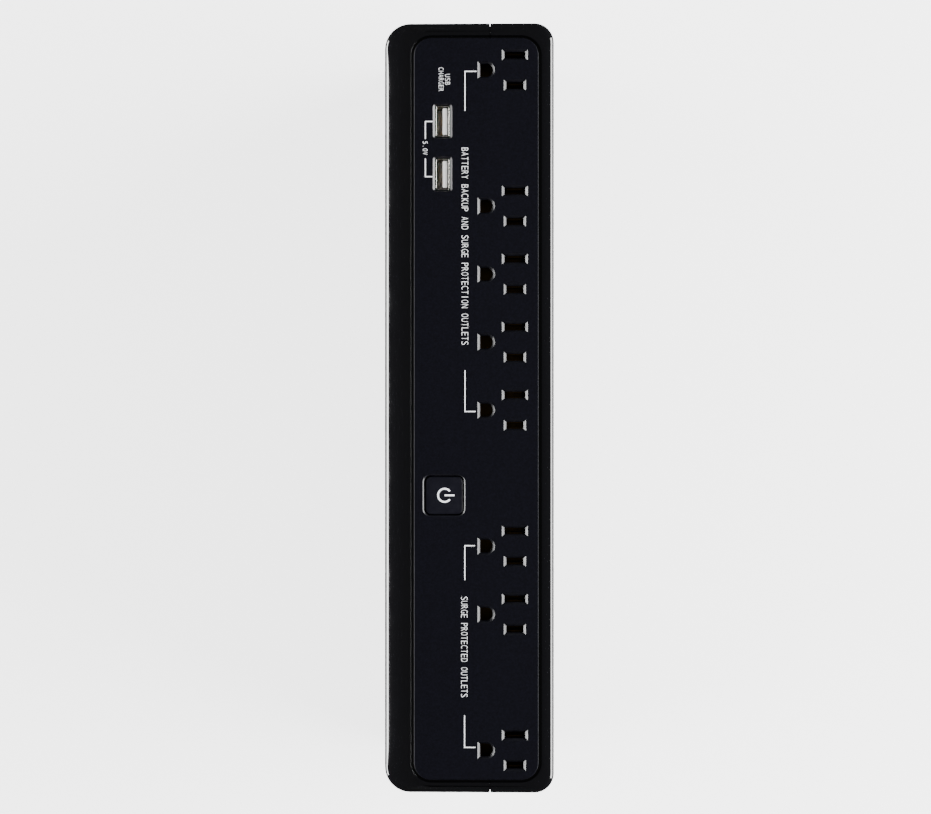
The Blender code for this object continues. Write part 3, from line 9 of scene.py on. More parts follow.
import bpy
import numpy as np
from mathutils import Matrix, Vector


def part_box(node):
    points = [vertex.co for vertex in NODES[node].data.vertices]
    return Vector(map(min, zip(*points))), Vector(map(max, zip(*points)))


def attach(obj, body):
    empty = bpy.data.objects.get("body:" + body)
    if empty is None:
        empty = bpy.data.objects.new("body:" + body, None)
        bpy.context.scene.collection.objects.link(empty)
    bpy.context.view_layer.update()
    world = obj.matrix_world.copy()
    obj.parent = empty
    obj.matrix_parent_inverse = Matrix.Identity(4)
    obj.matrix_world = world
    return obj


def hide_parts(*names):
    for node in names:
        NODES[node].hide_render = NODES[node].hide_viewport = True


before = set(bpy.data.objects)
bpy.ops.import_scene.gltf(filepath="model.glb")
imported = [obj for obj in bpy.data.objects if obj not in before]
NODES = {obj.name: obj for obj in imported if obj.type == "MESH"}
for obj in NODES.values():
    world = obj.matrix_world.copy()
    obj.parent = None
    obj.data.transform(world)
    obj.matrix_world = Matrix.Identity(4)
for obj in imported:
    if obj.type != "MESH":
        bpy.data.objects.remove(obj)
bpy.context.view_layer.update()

bl_info = {
    "name": "Slim power supply looks",
    "version": (1, 0, 0),
    "blender": (4, 5, 0),
    "location": "3D View > Sidebar > Power supply",
    "description": "Makes the visible surfaces, finishes and studio of a slim power supply",
    "category": "Object",
}

MM = 0.001

# Places read from the frame
LEFT_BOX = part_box("left_shell")
RIGHT_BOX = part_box("right_shell")
PLATE_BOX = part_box("face_plate")
BUTTON_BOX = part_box("power_button")
DOOR_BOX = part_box("battery_door")
BATTERY_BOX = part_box("battery_case")
X_LOW = LEFT_BOX[0][0]
X_HIGH = RIGHT_BOX[1][0]
Y_LOW = LEFT_BOX[0][1]
Y_HIGH = LEFT_BOX[1][1]
BASE_Z = LEFT_BOX[0][2]
TOP_Z = PLATE_BOX[1][2]
SEAM_LEFT = LEFT_BOX[1][0]
SEAM_RIGHT = RIGHT_BOX[0][0]
PLATE_X = (PLATE_BOX[0][0], PLATE_BOX[1][0])
PLATE_Y = (PLATE_BOX[0][1], PLATE_BOX[1][1])

# Outlet pattern: steps of the pitch from the first outlet
OUTLET_X = 19.1 * MM
OUTLET_FIRST_Y = 141.6 * MM
OUTLET_PITCH = 28.5 * MM
BACKUP_STEPS = (0, 2, 3, 4, 5)
SURGE_STEPS = (7, 8, 10)
BLADE_SPACING = 12.7 * MM
EARTH_X = OUTLET_X - 11.9 * MM
OUTLET_YS = [OUTLET_FIRST_Y - step * OUTLET_PITCH for step in BACKUP_STEPS + SURGE_STEPS]

# Sizes that several pieces share
OVER = 1.0 * MM  # how far a cutter runs past the wall that it cuts
GAP = 0.3 * MM  # between pieces that don't touch
WELD = 0.001 * MM  # points nearer than this are one point
LIFT = 0.005 * MM  # of printed ink over its surface
DOOR_CORNER = 4 * MM
DOOR_THICK = 1.5 * MM
HEAD_ROOM = 3.1 * MM  # radius of a bore round a screw's head
SHANK_ROOM = 1.7 * MM  # radius of a bore round a screw's shank

HOUSING_SLOT = "gloss_black_housing"


# ---------------------------------------------------------------- colours and finishes


def linear(code):
    """An sRGB hex code as a linear colour: the standard curve, undone channel by channel."""
    values = np.array([int(code[i : i + 2], 16) / 255 for i in (1, 3, 5)])
    low = values / 12.92
    high = ((values + 0.055) / 1.055) ** 2.4
    return tuple(float(v) for v in np.where(values <= 0.04045, low, high))


def rgba(colour):
    return (*colour[:3], 1.0)


def add_node(tree, kind, inputs=None, **settings):
    """Adds a node, sets its properties, and fills or links its inputs."""
    made = tree.nodes.new(kind)
    for key, value in settings.items():
        setattr(made, key, value)
    for key, value in (inputs or {}).items():
        if isinstance(value, bpy.types.NodeSocket):
            tree.links.new(value, made.inputs[key])
        else:
            made.inputs[key].default_value = value
    return made


def new_finish(name, colour, roughness, metallic=0.0, ior=1.5):
    """A Principled finish, with the Object coordinates that its patterns read."""
    material = bpy.data.materials.new(name)
    material.use_nodes = True
    tree = material.node_tree
    shader = tree.nodes["Principled BSDF"]
    shader.inputs["Base Color"].default_value = rgba(colour)
    shader.inputs["Roughness"].default_value = roughness
    shader.inputs["Metallic"].default_value = metallic
    shader.inputs["IOR"].default_value = ior
    place = add_node(tree, "ShaderNodeTexCoord").outputs["Object"]
    return material, tree, shader, place


def noise(tree, place, size, detail=2.0, roughness=0.5):
    """Noise whose features are about size metres across."""
    made = add_node(
        tree,
        "ShaderNodeTexNoise",
        {"Vector": place, "Scale": 1 / size, "Detail": detail, "Roughness": roughness},
    )
    return made.outputs["Fac"]


def spread(tree, value, low, high):
    """A 0 to 1 pattern stretched to run from low to high."""
    made = add_node(
        tree,
        "ShaderNodeMapRange",
        {"Value": value, "From Min": 0.25, "From Max": 0.75, "To Min": low, "To Max": high},
    )
    return made.outputs["Result"]


def tint(tree, value, dark, light):
    """Two colours mixed by a pattern."""
    made = add_node(tree, "ShaderNodeMix", data_type="RGBA")
    tree.links.new(value, made.inputs["Factor"])
    made.inputs[6].default_value = rgba(dark)
    made.inputs[7].default_value = rgba(light)
    return made.outputs[2]


def bump(tree, shader, height, depth):
    """Lets a 0 to 1 pattern raise the surface by up to depth metres."""
    made = add_node(tree, "ShaderNodeBump", {"Height": height, "Distance": depth, "Strength": 1.0})
    tree.links.new(made.outputs["Normal"], shader.inputs["Normal"])


def shade(colour, factor):
    return tuple(min(channel * factor, 1.0) for channel in colour[:3])


def mottle(tree, shader, pattern, colour, dark, light=1.0):
    """Lets a pattern choose between a darker and a lighter shade of a colour."""
    tone = tint(tree, spread(tree, pattern, 0.0, 1.0), shade(colour, dark), shade(colour, light))
    tree.links.new(tone, shader.inputs["Base Color"])


def cloud(tree, shader, pattern, low, high):
    """Lets a pattern vary the roughness."""
    tree.links.new(spread(tree, pattern, low, high), shader.inputs["Roughness"])


def glow(shader, colour, strength):
    shader.inputs["Emission Color"].default_value = rgba(colour)
    shader.inputs["Emission Strength"].default_value = strength


def polished_abs(name, colour):
    """High-gloss ABS from a polished tool: deep black, a mirror sheen, a faint slow ripple."""
    material, tree, shader, place = new_finish(name, colour, 0.07, ior=1.53)
    cloud(tree, shader, noise(tree, place, 9 * MM, 3.0), 0.05, 0.11)
    mottle(tree, shader, noise(tree, place, 0.8 * MM, 4.0, 0.6), colour, 0.8, 1.3)
    bump(tree, shader, noise(tree, place, 14 * MM, 1.0), 0.02 * MM)
    return material


def spark_textured_abs(name, colour):
    """ABS from a spark-eroded tool: an even matt grain. The real pits are about 0.1 mm, and
    they are drawn several times as wide so that the grain shows at all."""
    material, tree, shader, place = new_finish(name, colour, 0.44, ior=1.53)
    shader.inputs["Specular IOR Level"].default_value = 0.06
    grain = noise(tree, place, 0.7 * MM, 3.0, 0.65)
    mottle(tree, shader, grain, colour, 0.45, 1.75)
    cloud(tree, shader, grain, 0.52, 0.36)
    bump(tree, shader, grain, 0.008 * MM)
    return material


def moulded_satin(name, colour, roughness=0.36, sheen=0.35):
    """A plain moulded plastic: satin, with slight flow marks in its gloss."""
    material, tree, shader, place = new_finish(name, colour, roughness)
    shader.inputs["Specular IOR Level"].default_value = sheen
    flow = noise(tree, place, 2.5 * MM, 3.0)
    cloud(tree, shader, flow, roughness - 0.06, roughness + 0.06)
    mottle(tree, shader, flow, colour, 0.9, 1.1)
    bump(tree, shader, noise(tree, place, 0.3 * MM, 2.0), 0.004 * MM)
    return material


def satin_cap(name, colour):
    """A button's cap: finely textured so that fingers leave no mark, with little gloss."""
    return moulded_satin(name, colour, 0.4, 0.14)


def polished_lead_in(name, colour):
    """Where the tool is polished so that plugs slide in: the same black, but shinier."""
    return moulded_satin(name, colour, 0.36, 0.45)


def brightened_moulding(name, colour):
    """White moulded plastic that glows a little, painted light that makes it read bright: the end
    face of a tongue.
    """
    material = moulded_satin(name, colour)
    # painted light: the glow stands in for light falling on the tongue's end face
    glow(material.node_tree.nodes["Principled BSDF"], colour, 0.6)
    return material


def screen_ink(name, colour):
    """Screen-printed ink that glows a little, painted light that makes the print read brighter:
    flat, near-white, thinner here and there.
    """
    material, tree, shader, place = new_finish(name, colour, 0.5)
    mottle(tree, shader, noise(tree, place, 0.4 * MM, 3.0), colour, 0.8)
    # painted light: the ink glows so that the print reads brighter than the lamps make it
    glow(shader, colour, 0.8)
    return material


def plated_metal(name, colour, roughness=0.24, cell=3.0 * MM):
    """Bright plating over stamped or turned metal: cloudy sheen and fine draw marks."""
    material, tree, shader, place = new_finish(name, colour, roughness, metallic=1.0)
    stain = noise(tree, place, cell, 4.0, 0.6)
    cloud(tree, shader, stain, roughness - 0.05, roughness + 0.06)
    mottle(tree, shader, stain, colour, 0.85)
    bump(tree, shader, noise(tree, place, 0.25 * MM, 2.0), 0.003 * MM)
    return material


def moulded_rubber(name, colour):
    """Moulded rubber: no gloss, dusty high spots, fine pores."""
    material, tree, shader, place = new_finish(name, colour, 0.8)
    pores = noise(tree, place, 0.5 * MM, 4.0, 0.7)
    mottle(tree, shader, pores, colour, 0.8, 1.4)
    cloud(tree, shader, pores, 0.7, 0.9)
    bump(tree, shader, pores, 0.02 * MM)
    return material


def solder_masked(name, colour):
    """Solder mask over copper: glossy green, with paler tracks 1.5 mm apart and round pads."""
    material, tree, shader, place = new_finish(name, colour, 0.35)
    copper = linear("#b8a878")
    tracks = add_node(
        tree,
        "ShaderNodeTexBrick",
        {
            "Vector": place,
            "Scale": 1 / (6 * MM),
            "Color1": rgba(colour),
            "Color2": rgba(shade(colour, 0.75)),
            "Mortar": rgba(shade(colour, 1.9)),
            "Mortar Size": 0.06,
        },
    )
    pads = add_node(
        tree, "ShaderNodeTexVoronoi", {"Vector": place, "Scale": 1 / (4 * MM), "Randomness": 0.6}
    )
    spot = add_node(
        tree, "ShaderNodeMath", {0: pads.outputs["Distance"], 1: 0.16}, operation="LESS_THAN"
    )
    made = add_node(tree, "ShaderNodeMix", data_type="RGBA")
    tree.links.new(spot.outputs[0], made.inputs["Factor"])
    tree.links.new(tracks.outputs["Color"], made.inputs[6])
    made.inputs[7].default_value = rgba(copper)
    tree.links.new(made.outputs[2], shader.inputs["Base Color"])
    bump(tree, shader, tracks.outputs["Fac"], 0.03 * MM)
    return material


def banded(name, colour, step, axis, roughness, metallic=0.0):
    """Bands of step metres along one axis (X, Y or Z), each with its own slight groove."""
    material, tree, shader, place = new_finish(name, colour, roughness, metallic)
    bands = add_node(
        tree,
        "ShaderNodeTexWave",
        {"Vector": place, "Scale": math.pi / 10 / step, "Distortion": 0.4, "Detail": 2.0},
        bands_direction=axis,
    )
    tone = tint(tree, bands.outputs["Fac"], shade(colour, 0.55), colour)
    tree.links.new(tone, shader.inputs["Base Color"])
    bump(tree, shader, bands.outputs["Fac"], 0.1 * MM)
    return material


def stacked_sheets(name, colour):
    """Half-millimetre steel sheets stacked across X and varnished."""
    return banded(name, colour, 0.5 * MM, "X", 0.45, 1.0)


def wound_turns(name, colour):
    """Turns of tape round the coil, 6 mm wide along Y, shiny where the film is tight."""
    return banded(name, colour, 6 * MM, "Y", 0.35)


def stamped_metal(name, colour):
    """Bare stamped strip or extrusion: duller than plating, with coarser marks."""
    return plated_metal(name, colour, 0.38, 2.5 * MM)


def clear_tinted(name, colour):
    """Clear glass or epoxy: glossy and see-through, with a faint tint and slow streaks."""
    material, tree, shader, place = new_finish(name, colour, 0.06)
    shader.inputs["Transmission Weight"].default_value = 0.8
    cloud(tree, shader, noise(tree, place, 3 * MM, 2.0), 0.03, 0.12)
    return material


# ---------------------------------------------------------------- surfaces


def skin(rows, wrap=True, caps=(True, True)):
    """Points and faces of the surface through rows x columns of points.

    Rings are anticlockwise seen from above and run downwards, which turns faces outwards.
    wrap joins the last column to the first, and caps close the first and last row.
    """
    rows = np.asarray(rows, float)
    count, width = rows.shape[:2]
    index = np.arange(count * width).reshape(count, width)
    here = index if wrap else index[:, :-1]
    after = np.roll(index, -1, axis=1) if wrap else index[:, 1:]
    quads = np.stack((here[:-1], here[1:], after[1:], after[:-1]), axis=-1)
    faces = quads.reshape(-1, 4).tolist()
    if caps[0]:
        faces.append(index[0].tolist())
    if caps[1]:
        faces.append(index[-1, ::-1].tolist())
    return rows.reshape(-1, 3), faces


def gather(parts):
    """Several skins as one set of points and faces."""
    points = []
    faces = []
    start = 0
    for some, skins in parts:
        points.append(np.asarray(some, float))
        faces.extend([[corner + start for corner in face] for face in skins])
        start += len(some)
    return np.concatenate(points), faces


def middle(node):
    """The middle of a node's box."""
    low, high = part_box(node)
    return (low + high) / 2


def named(start):
    """The nodes whose names begin alike, in order."""
    return [name for name in sorted(NODES) if name.startswith(start)]


def dress(obj, slot, body, node=None):
    """Gives a piece its finish, the body that carries it and the node that it stands for."""
    obj.data.materials.append(finish(slot))
    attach(obj, body)
    if node:
        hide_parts(node)
    return obj


def put(name, shape, slot, body, node=None):
    return dress(bare(name, shape), slot, body, node)


def bare(name, shape):
    points, faces = shape
    mesh = bpy.data.meshes.new(name)
    mesh.from_pydata(np.asarray(points).tolist(), [], faces)
    mesh.update()
    obj = bpy.data.objects.new(name, mesh)
    bpy.context.scene.collection.objects.link(obj)
    return obj


def smooth(obj, angle=30):
    obj.data.shade_smooth()
    obj.data.set_sharp_from_angle(angle=math.radians(angle))


def weld(obj):
    """Joins the first and last ring of a closed skin."""
    joint = obj.modifiers.new("weld", "WELD")
    joint.merge_threshold = WELD
    settle(obj)


def rim_edges(obj, width, angle=35):
    """Breaks sharp edges by a small round, as a moulding tool leaves them."""
    edge = obj.modifiers.new("edge", "BEVEL")
    edge.width = width
    edge.segments = 2
    edge.limit_method = "ANGLE"
    edge.angle_limit = math.radians(angle)
    edge.harden_normals = True
    edge.use_clamp_overlap = True


def carve(obj, shape, operation="DIFFERENCE"):
    """Cuts a shape from a piece, or joins it on, at once, and removes the cutter."""
    before = len(obj.data.vertices)
    cutter = bare("cutter", shape)
    step = obj.modifiers.new("carve", "BOOLEAN")
    step.operation = operation
    step.object = cutter
    step.solver = "EXACT"
    settle(obj)
    data = cutter.data
    bpy.data.objects.remove(cutter)
    bpy.data.meshes.remove(data)
    if len(obj.data.vertices) < before / 2:
        raise RuntimeError(f"{obj.name}: a cut left {len(obj.data.vertices)} of {before} points")


def per_face(mesh, field):
    """One vector of each face of a mesh, as (n, 3)."""
    values = np.empty((len(mesh.polygons), 3))
    mesh.polygons.foreach_get(field, values.ravel())
    return values


def settle(obj):
    """Applies the modifiers that a piece has so far."""
    graph = bpy.context.evaluated_depsgraph_get()
    mesh = bpy.data.meshes.new_from_object(obj.evaluated_get(graph), depsgraph=graph)
    old = obj.data
    mesh.name = obj.name
    obj.modifiers.clear()
    obj.data = mesh
    bpy.data.meshes.remove(old)


def arc(centre, radius, start, end, steps):
    """Points on a circle from one angle in degrees to another, steps spans apart."""
    angle = np.radians(np.linspace(start, end, steps + 1))
    return np.stack((centre[0] + radius * np.cos(angle), centre[1] + radius * np.sin(angle)), -1)


def quarter(count, start=0):
    """(1 - sine, 1 - cosine) of angles from start to 90 degrees: a rounded edge's shape."""
    turn = np.radians(np.linspace(start, 90, count))
    return np.stack((1 - np.sin(turn), 1 - np.cos(turn)), -1)


def round_outline(x_span, y_span, radius, steps=10):
    """A rounded rectangle, anticlockwise from its +X side, as (n, 2) points."""
    x_low = x_span[0] + radius
    x_high = x_span[1] - radius
    y_low = y_span[0] + radius
    y_high = y_span[1] - radius
    centres = ((x_high, y_high), (x_low, y_high), (x_low, y_low), (x_high, y_low))
    bends = [arc(at, radius, 90 * n, 90 * n + 90, steps) for n, at in enumerate(centres)]
    return np.concatenate(bends)


def plan(low, high, grow, radius, steps=10):
    """A box seen from above, moved out by grow metres in X and Y, with rounded corners."""
    grow_x, grow_y = grow
    x_span = (low.x - grow_x, high.x + grow_x)
    return round_outline(x_span, (low.y - grow_y, high.y + grow_y), radius, steps)


def at_height(outline, z):
    """A flat outline lifted to one height."""
    return np.column_stack((outline, np.full(len(outline), z)))


def stack(outlines):
    """A closed form through (outline, height) pairs from top to bottom."""
    return skin([at_height(outline, z) for outline, z in outlines])


def rounded_slab(x_span, y_span, z_span, corner, edge, steps=10):
    """A slab with rounded corners in plan, whose upper edge is a quarter round."""
    sharpest = 0.05 * MM
    rows = []
    for inward, down in edge * quarter(6):
        outline = round_outline(
            (x_span[0] + inward, x_span[1] - inward),
            (y_span[0] + inward, y_span[1] - inward),
            max(corner - inward, sharpest),
            steps,
        )
        rows.append((outline, z_span[1] - down))
    rows.append((rows[-1][0], z_span[0]))
    return stack(rows)


def rectangle(x, y, width, length):
    half = np.array([width / 2, length / 2])
    return np.array([x, y]) + np.array([(1, 1), (-1, 1), (-1, -1), (1, -1)]) * half


def d_outline(x, y, flat_grow=0.0, bow_grow=0.0, radius=2.65 * MM, steps=20):
    """A D: straight at -X, half round at +X, each side moved out by its own growth."""
    reach = radius + bow_grow
    bow = arc((0, 0), reach, -90, 90, steps)
    flat = np.array([(-radius - flat_grow, reach), (-radius - flat_grow, -reach)])
    return np.array([x, y]) + np.concatenate((flat, bow))


def turned(profile, centre, axis="Z", steps=40, caps=(True, True)):
    """A profile of (radius, height) points carried round an axis: its points run from the
    top down its outer side. Poles are closed by a flat face of the first and last ring."""
    profile = np.asarray(profile, float)
    angle = np.linspace(0, 2 * math.pi, steps, endpoint=False)
    ring = np.stack((np.cos(angle), np.sin(angle)), -1)
    rows = np.empty((len(profile), steps, 3))
    rows[:, :, :2] = profile[:, None, :1] * ring[None]
    rows[:, :, 2] = profile[:, None, 1]
    points, faces = skin(rows, caps=caps)
    order, signs = {
        "Z": ((0, 1, 2), (1, 1, 1)),
        "X": ((2, 0, 1), (1, 1, 1)),
        "-X": ((2, 0, 1), (-1, -1, 1)),
        "-Y": ((0, 2, 1), (1, -1, 1)),
    }[axis]
    return points[:, order] * np.array(signs) + np.asarray(centre), faces


def x_facing(shape, x):
    """Stands a flat slab, drawn as (Y, Z) in plan with its depth as height, facing -X."""
    points, faces = shape
    stood = np.stack((x - points[:, 2], points[:, 0], points[:, 1]), -1)
    return stood, [face[::-1] for face in faces]


def prism(outline, low, high, axis="Z"):
    """A flat outline carried along an axis. It is drawn in (X, Y), (Y, Z) or (Z, X)."""
    points, faces = stack([(np.asarray(outline), high), (np.asarray(outline), low)])
    order = {"Z": (0, 1, 2), "X": (2, 0, 1), "Y": (1, 2, 0)}[axis]
    return points[:, order], faces


def rod(centre, radius, low, high, axis="Z", steps=40):
    """A cylinder along an axis through a point of the plane that the axis leaves."""
    return prism(arc(centre, radius, 0, 360 * (1 - 1 / steps), steps - 1), low, high, axis)


def stroke(path, width):
    """The outline of a line of one width along square-cornered points."""
    path = np.asarray(path, float)
    runs = np.diff(path, axis=0)
    runs /= np.linalg.norm(runs, axis=1)[:, None]
    side = np.stack((-runs[:, 1], runs[:, 0]), -1)
    first = side[:1]
    last = side[-1:]
    miters = side[:-1] + side[1:]
    shift = np.concatenate((first, miters, last)) * width / 2
    return np.concatenate((path + shift, (path - shift)[::-1]))


def flat_mark(outline, z, thick):
    """A printed mark of one outline, turned to be anticlockwise."""
    outline = np.asarray(outline, float)
    after = np.roll(outline, -1, axis=0)
    area = (outline[:, 0] * after[:, 1] - after[:, 0] * outline[:, 1]).sum()
    return prism(outline if area > 0 else outline[::-1], z, z + thick)


def letter(text):
    """One flat letter of Blender's own font, as points and faces, one unit tall."""
    curve = bpy.data.curves.new("letter", "FONT")
    curve.body = text
    curve.size = 1.0
    curve.resolution_u = 4
    curve.extrude = 0.5
    curve.offset = -0.02
    holder = bpy.data.objects.new("letter", curve)
    bpy.context.scene.collection.objects.link(holder)
    graph = bpy.context.evaluated_depsgraph_get()
    mesh = bpy.data.meshes.new_from_object(holder.evaluated_get(graph))
    points = np.empty(len(mesh.vertices) * 3)
    mesh.vertices.foreach_get("co", points)
    faces = [list(face.vertices) for face in mesh.polygons]
    bpy.data.objects.remove(holder)
    bpy.data.curves.remove(curve)
    bpy.data.meshes.remove(mesh)
    return points.reshape(-1, 3), faces


def words(text, x_span, y_span, z, thick):
    """Flat letters of even pitch that read towards -Y and fill a rectangle."""
    pitch = (y_span[1] - y_span[0]) / (len(text) - 0.3)
    tall = x_span[1] - x_span[0]
    cap = 0.73  # cap height of the font at size one
    widest = 0.74 * abs(pitch)
    made = {mark: letter(mark) for mark in set(text) if mark != " "}
    parts = []
    for place, mark in enumerate(text):
        if mark == " ":
            continue
        points, faces = made[mark]
        left = points[:, 0].min()
        wide = points[:, 0].max() - left
        stretch = min(tall / cap, widest / wide) * math.copysign(1, pitch)
        centre = y_span[0] + pitch * (place + 0.35)
        placed = np.stack(
            (
                x_span[0] + points[:, 1] / cap * tall,
                centre + (points[:, 0] - left - wide / 2) * stretch,
                z + (points[:, 2] + 0.5) * thick,
            ),
            -1,
        )
        parts.append((placed, faces))
    return gather(parts)


# ---------------------------------------------------------------- settings


def length(name, description, size):
    return bpy.props.FloatProperty(
        name=name, description=description, default=size * MM, unit="LENGTH", subtype="DISTANCE"
    )


def angle(name, description, degrees):
    return bpy.props.FloatProperty(
        name=name,
        description=description,
        default=math.radians(degrees),
        unit="ROTATION",
        subtype="ANGLE",
    )


def colour(name, description, code):
    return bpy.props.FloatVectorProperty(
        name=name, description=description, default=linear(code), subtype="COLOR", min=0, max=1
    )


class SupplySizes(bpy.types.PropertyGroup):
    """Sizes of the visible surfaces. The frame gives the places."""

    wall: length("Wall", "Thickness of the housing's walls", 1.8)
    groove: length("Groove", "Width of the groove round the outlet plate", 1.2)
    groove_depth: length("Groove depth", "From the outlet face down to the ledge", 3.3)
    ledge: length("Ledge", "Width of the ledge under the plate", 2.0)
    rim_drop: length("Rim drop", "How far the rim sits below the outlet face", 0.5)
    rim_round: length("Rim round", "Rounding of the rim beside the groove", 0.12)
    shoulder_round: length("Shoulder round", "Rounding between shoulder and wall", 2.6)
    base_round: length("Base round", "Rounding between wall and floor", 3.0)
    corner_left: length("Left corner", "Upright corner radius at -X", 10.8)
    corner_right: length("Right corner", "Upright corner radius at +X", 8.2)
    tilt_left: angle("Left tilt", "Slope that the shoulder reaches at -X", 36)
    tilt_right: angle("Right tilt", "Slope that the shoulder reaches at +X", 16)
    tilt_end: angle("End tilt", "Slope that the shoulder reaches at both ends", 20)
    seam_notch: length("Seam notch", "Depth of the V where the seam runs down an end wall", 1.1)
    seam_notch_half: length("Seam notch half width", "Half the width of that V", 0.45)
    edge_break: length("Edge break", "Rounding of moulded edges", 0.1)
    plate_thick: length("Plate", "Thickness of the outlet plate", 3.0)
    plate_corner: length("Plate corner", "Corner radius of the outlet plate", 7.3)
    plate_chamfer: length("Plate chamfer", "Chamfer round the outlet plate", 0.22)
    funnel_end: length("Slot end lead-in", "Lead-in at a slot's short ends", 1.1)
    funnel_side: length("Slot side lead-in", "Lead-in along a slot's long sides", 0.9)
    funnel_depth: length("Lead-in depth", "Depth of the lead-in of a slot", 1.0)
    ink_thick: length("Ink", "Thickness of the printed ink", 0.03)
    ink_line: length("Ink line", "Width of the printed lines", 0.4)


class SupplyColours(bpy.types.PropertyGroup):
    """Colours of the finishes."""

    gloss_black: colour("Gloss black", "Housing and door", "#08080a")
    matt_black: colour("Matt black", "Outlet plate", "#0a0a10")
    button_black: colour("Button black", "Power button", "#101017")
    part_black: colour("Part black", "Outlet blocks, relays and switch bodies", "#18181a")
    rubber: colour("Rubber", "Feet and cord bushing", "#161616")
    ink: colour("Ink", "Printed legends", "#f6f7fa")
    nickel: colour("Nickel", "USB shells", "#d6d3cc")
    zinc: colour("Zinc", "Screws and nut", "#c3c6cb")
    # brass darker than the bare metal: painted shade of the deep slots that the contacts sit in
    brass: colour("Brass", "Outlet contacts", "#8f7440")
    tin: colour("Tin", "Battery tabs", "#c9cacc")
    gold: colour("Gold", "USB contacts", "#e6b95c")
    aluminium: colour("Aluminium", "Heatsink", "#c8c9cc")
    steel: colour("Steel", "Transformer sheets", "#6d6e72")
    white: colour("White", "USB tongues and reset button", "#fafaf7")
    battery: colour("Battery grey", "Battery case", "#5a5d60")
    board: colour("Board green", "Circuit boards", "#1d5a35")
    sleeve: colour("Sleeve blue", "Capacitor sleeves", "#1c2a58")
    varistor: colour("Varistor blue", "Varistors", "#2f58a0")
    choke: colour("Choke green", "Choke core", "#3f6b4b")
    tape: colour("Tape amber", "Transformer winding", "#b98a3a")
    red: colour("Red", "Battery lead", "#a81e1e")
    glass: colour("Glass", "Fuse tube", "#dfe8e8")
    led: colour("LED green", "Button's lamp", "#5fcf7a")
    grey: colour("Grey", "Switch plunger", "#9a9a9a")
    floor: colour("Floor", "Studio floor", "#f4f4f4")


FINISHES = {
    "gloss_black_housing": (polished_abs, "gloss_black"),
    "matt_black_plate": (spark_textured_abs, "matt_black"),
    "polished_lead_in": (polished_lead_in, "matt_black"),
    "satin_black_button": (satin_cap, "button_black"),
    "outlet_block_black": (moulded_satin, "part_black"),
    "component_black": (moulded_satin, "part_black"),
    "switch_grey": (moulded_satin, "grey"),
    "usb_tongue_white": (moulded_satin, "white"),
    "usb_tongue_tip": (brightened_moulding, "white"),
    "breaker_white": (moulded_satin, "white"),
    "battery_grey": (spark_textured_abs, "battery"),
    "circuit_board_green": (solder_masked, "board"),
    "capacitor_sleeve": (moulded_satin, "sleeve"),
    "varistor_blue": (moulded_satin, "varistor"),
    "choke_green": (moulded_satin, "choke"),
    "winding_tape": (wound_turns, "tape"),
    "lead_red": (moulded_satin, "red"),
    "lead_black": (moulded_satin, "part_black"),
    "fuse_glass": (clear_tinted, "glass"),
    "led_green": (clear_tinted, "led"),
    "black_rubber": (moulded_rubber, "rubber"),
    "contact_brass": (stamped_metal, "brass"),
    "usb_nickel": (plated_metal, "nickel"),
    "tinned_tab": (plated_metal, "tin"),
    "zinc_plate": (plated_metal, "zinc"),
    "heatsink_aluminium": (stamped_metal, "aluminium"),
    "core_steel": (stacked_sheets, "steel"),
    "legend_ink": (screen_ink, "ink"),
    "contact_gold": (plated_metal, "gold"),
}


def finish(slot):
    """The finish of a material slot, made the first time it is asked for."""
    recipe, tone = FINISHES[slot]
    name = f"{recipe.__name__}_{tone}"
    made = bpy.data.materials.get(name)
    return made or recipe(name, getattr(bpy.context.scene.supply_colours, tone))


# ---------------------------------------------------------------- housing


def housing_rows(sizes):
    """How far in from each side, and how far below the outlet face, every row of the skin
    lies. Rows run from the ledge, up the groove, over the shoulder and down to the floor.
    Columns are the +X, +Y, -X and -Y side."""
    band = np.array(
        [X_HIGH - PLATE_X[1], Y_HIGH - PLATE_Y[1], PLATE_X[0] - X_LOW, PLATE_Y[0] - Y_LOW]
    )
    tilt = np.array([sizes.tilt_right, sizes.tilt_end, sizes.tilt_left, sizes.tilt_end])
    edge = sizes.shoulder_round
    break_round = sizes.rim_round
    rim = band - sizes.groove
    run = rim - edge * (1 - np.sin(tilt))
    fall = run * np.tan(tilt) / 2
    flat = np.ones(4)
    rows = [
        (band + sizes.ledge, sizes.groove_depth * flat),
        (rim, sizes.groove_depth * flat),
        (rim, (sizes.rim_drop + 2 * break_round) * flat),
    ]
    for down, inward in break_round * quarter(5):
        rows.append((rim - inward, (sizes.rim_drop + down) * flat))
    for share in np.linspace(0, 1, 19)[1:]:
        reach = break_round / run + (1 - break_round / run) * share
        rows.append((rim - run * reach, sizes.rim_drop + fall * reach**2))
    for share in np.linspace(0, 1, 11)[1:]:
        lean = tilt + (math.pi / 2 - tilt) * share
        depth = sizes.rim_drop + fall + edge * (np.cos(tilt) - np.cos(lean))
        rows.append((edge * (1 - np.sin(lean)), depth))
    support = 0.4 * MM
    rows.append((0 * flat, rows[-1][1] + support))
    base = sizes.base_round
    floor_depth = TOP_Z - BASE_Z
    rows.append((0 * flat, (floor_depth - base - support) * flat))
    for up, inward in base * quarter(9):
        rows.append((inward * flat, (floor_depth - up) * flat))
    return np.array([row[0] for row in rows]), np.array([row[1] for row in rows]), rim


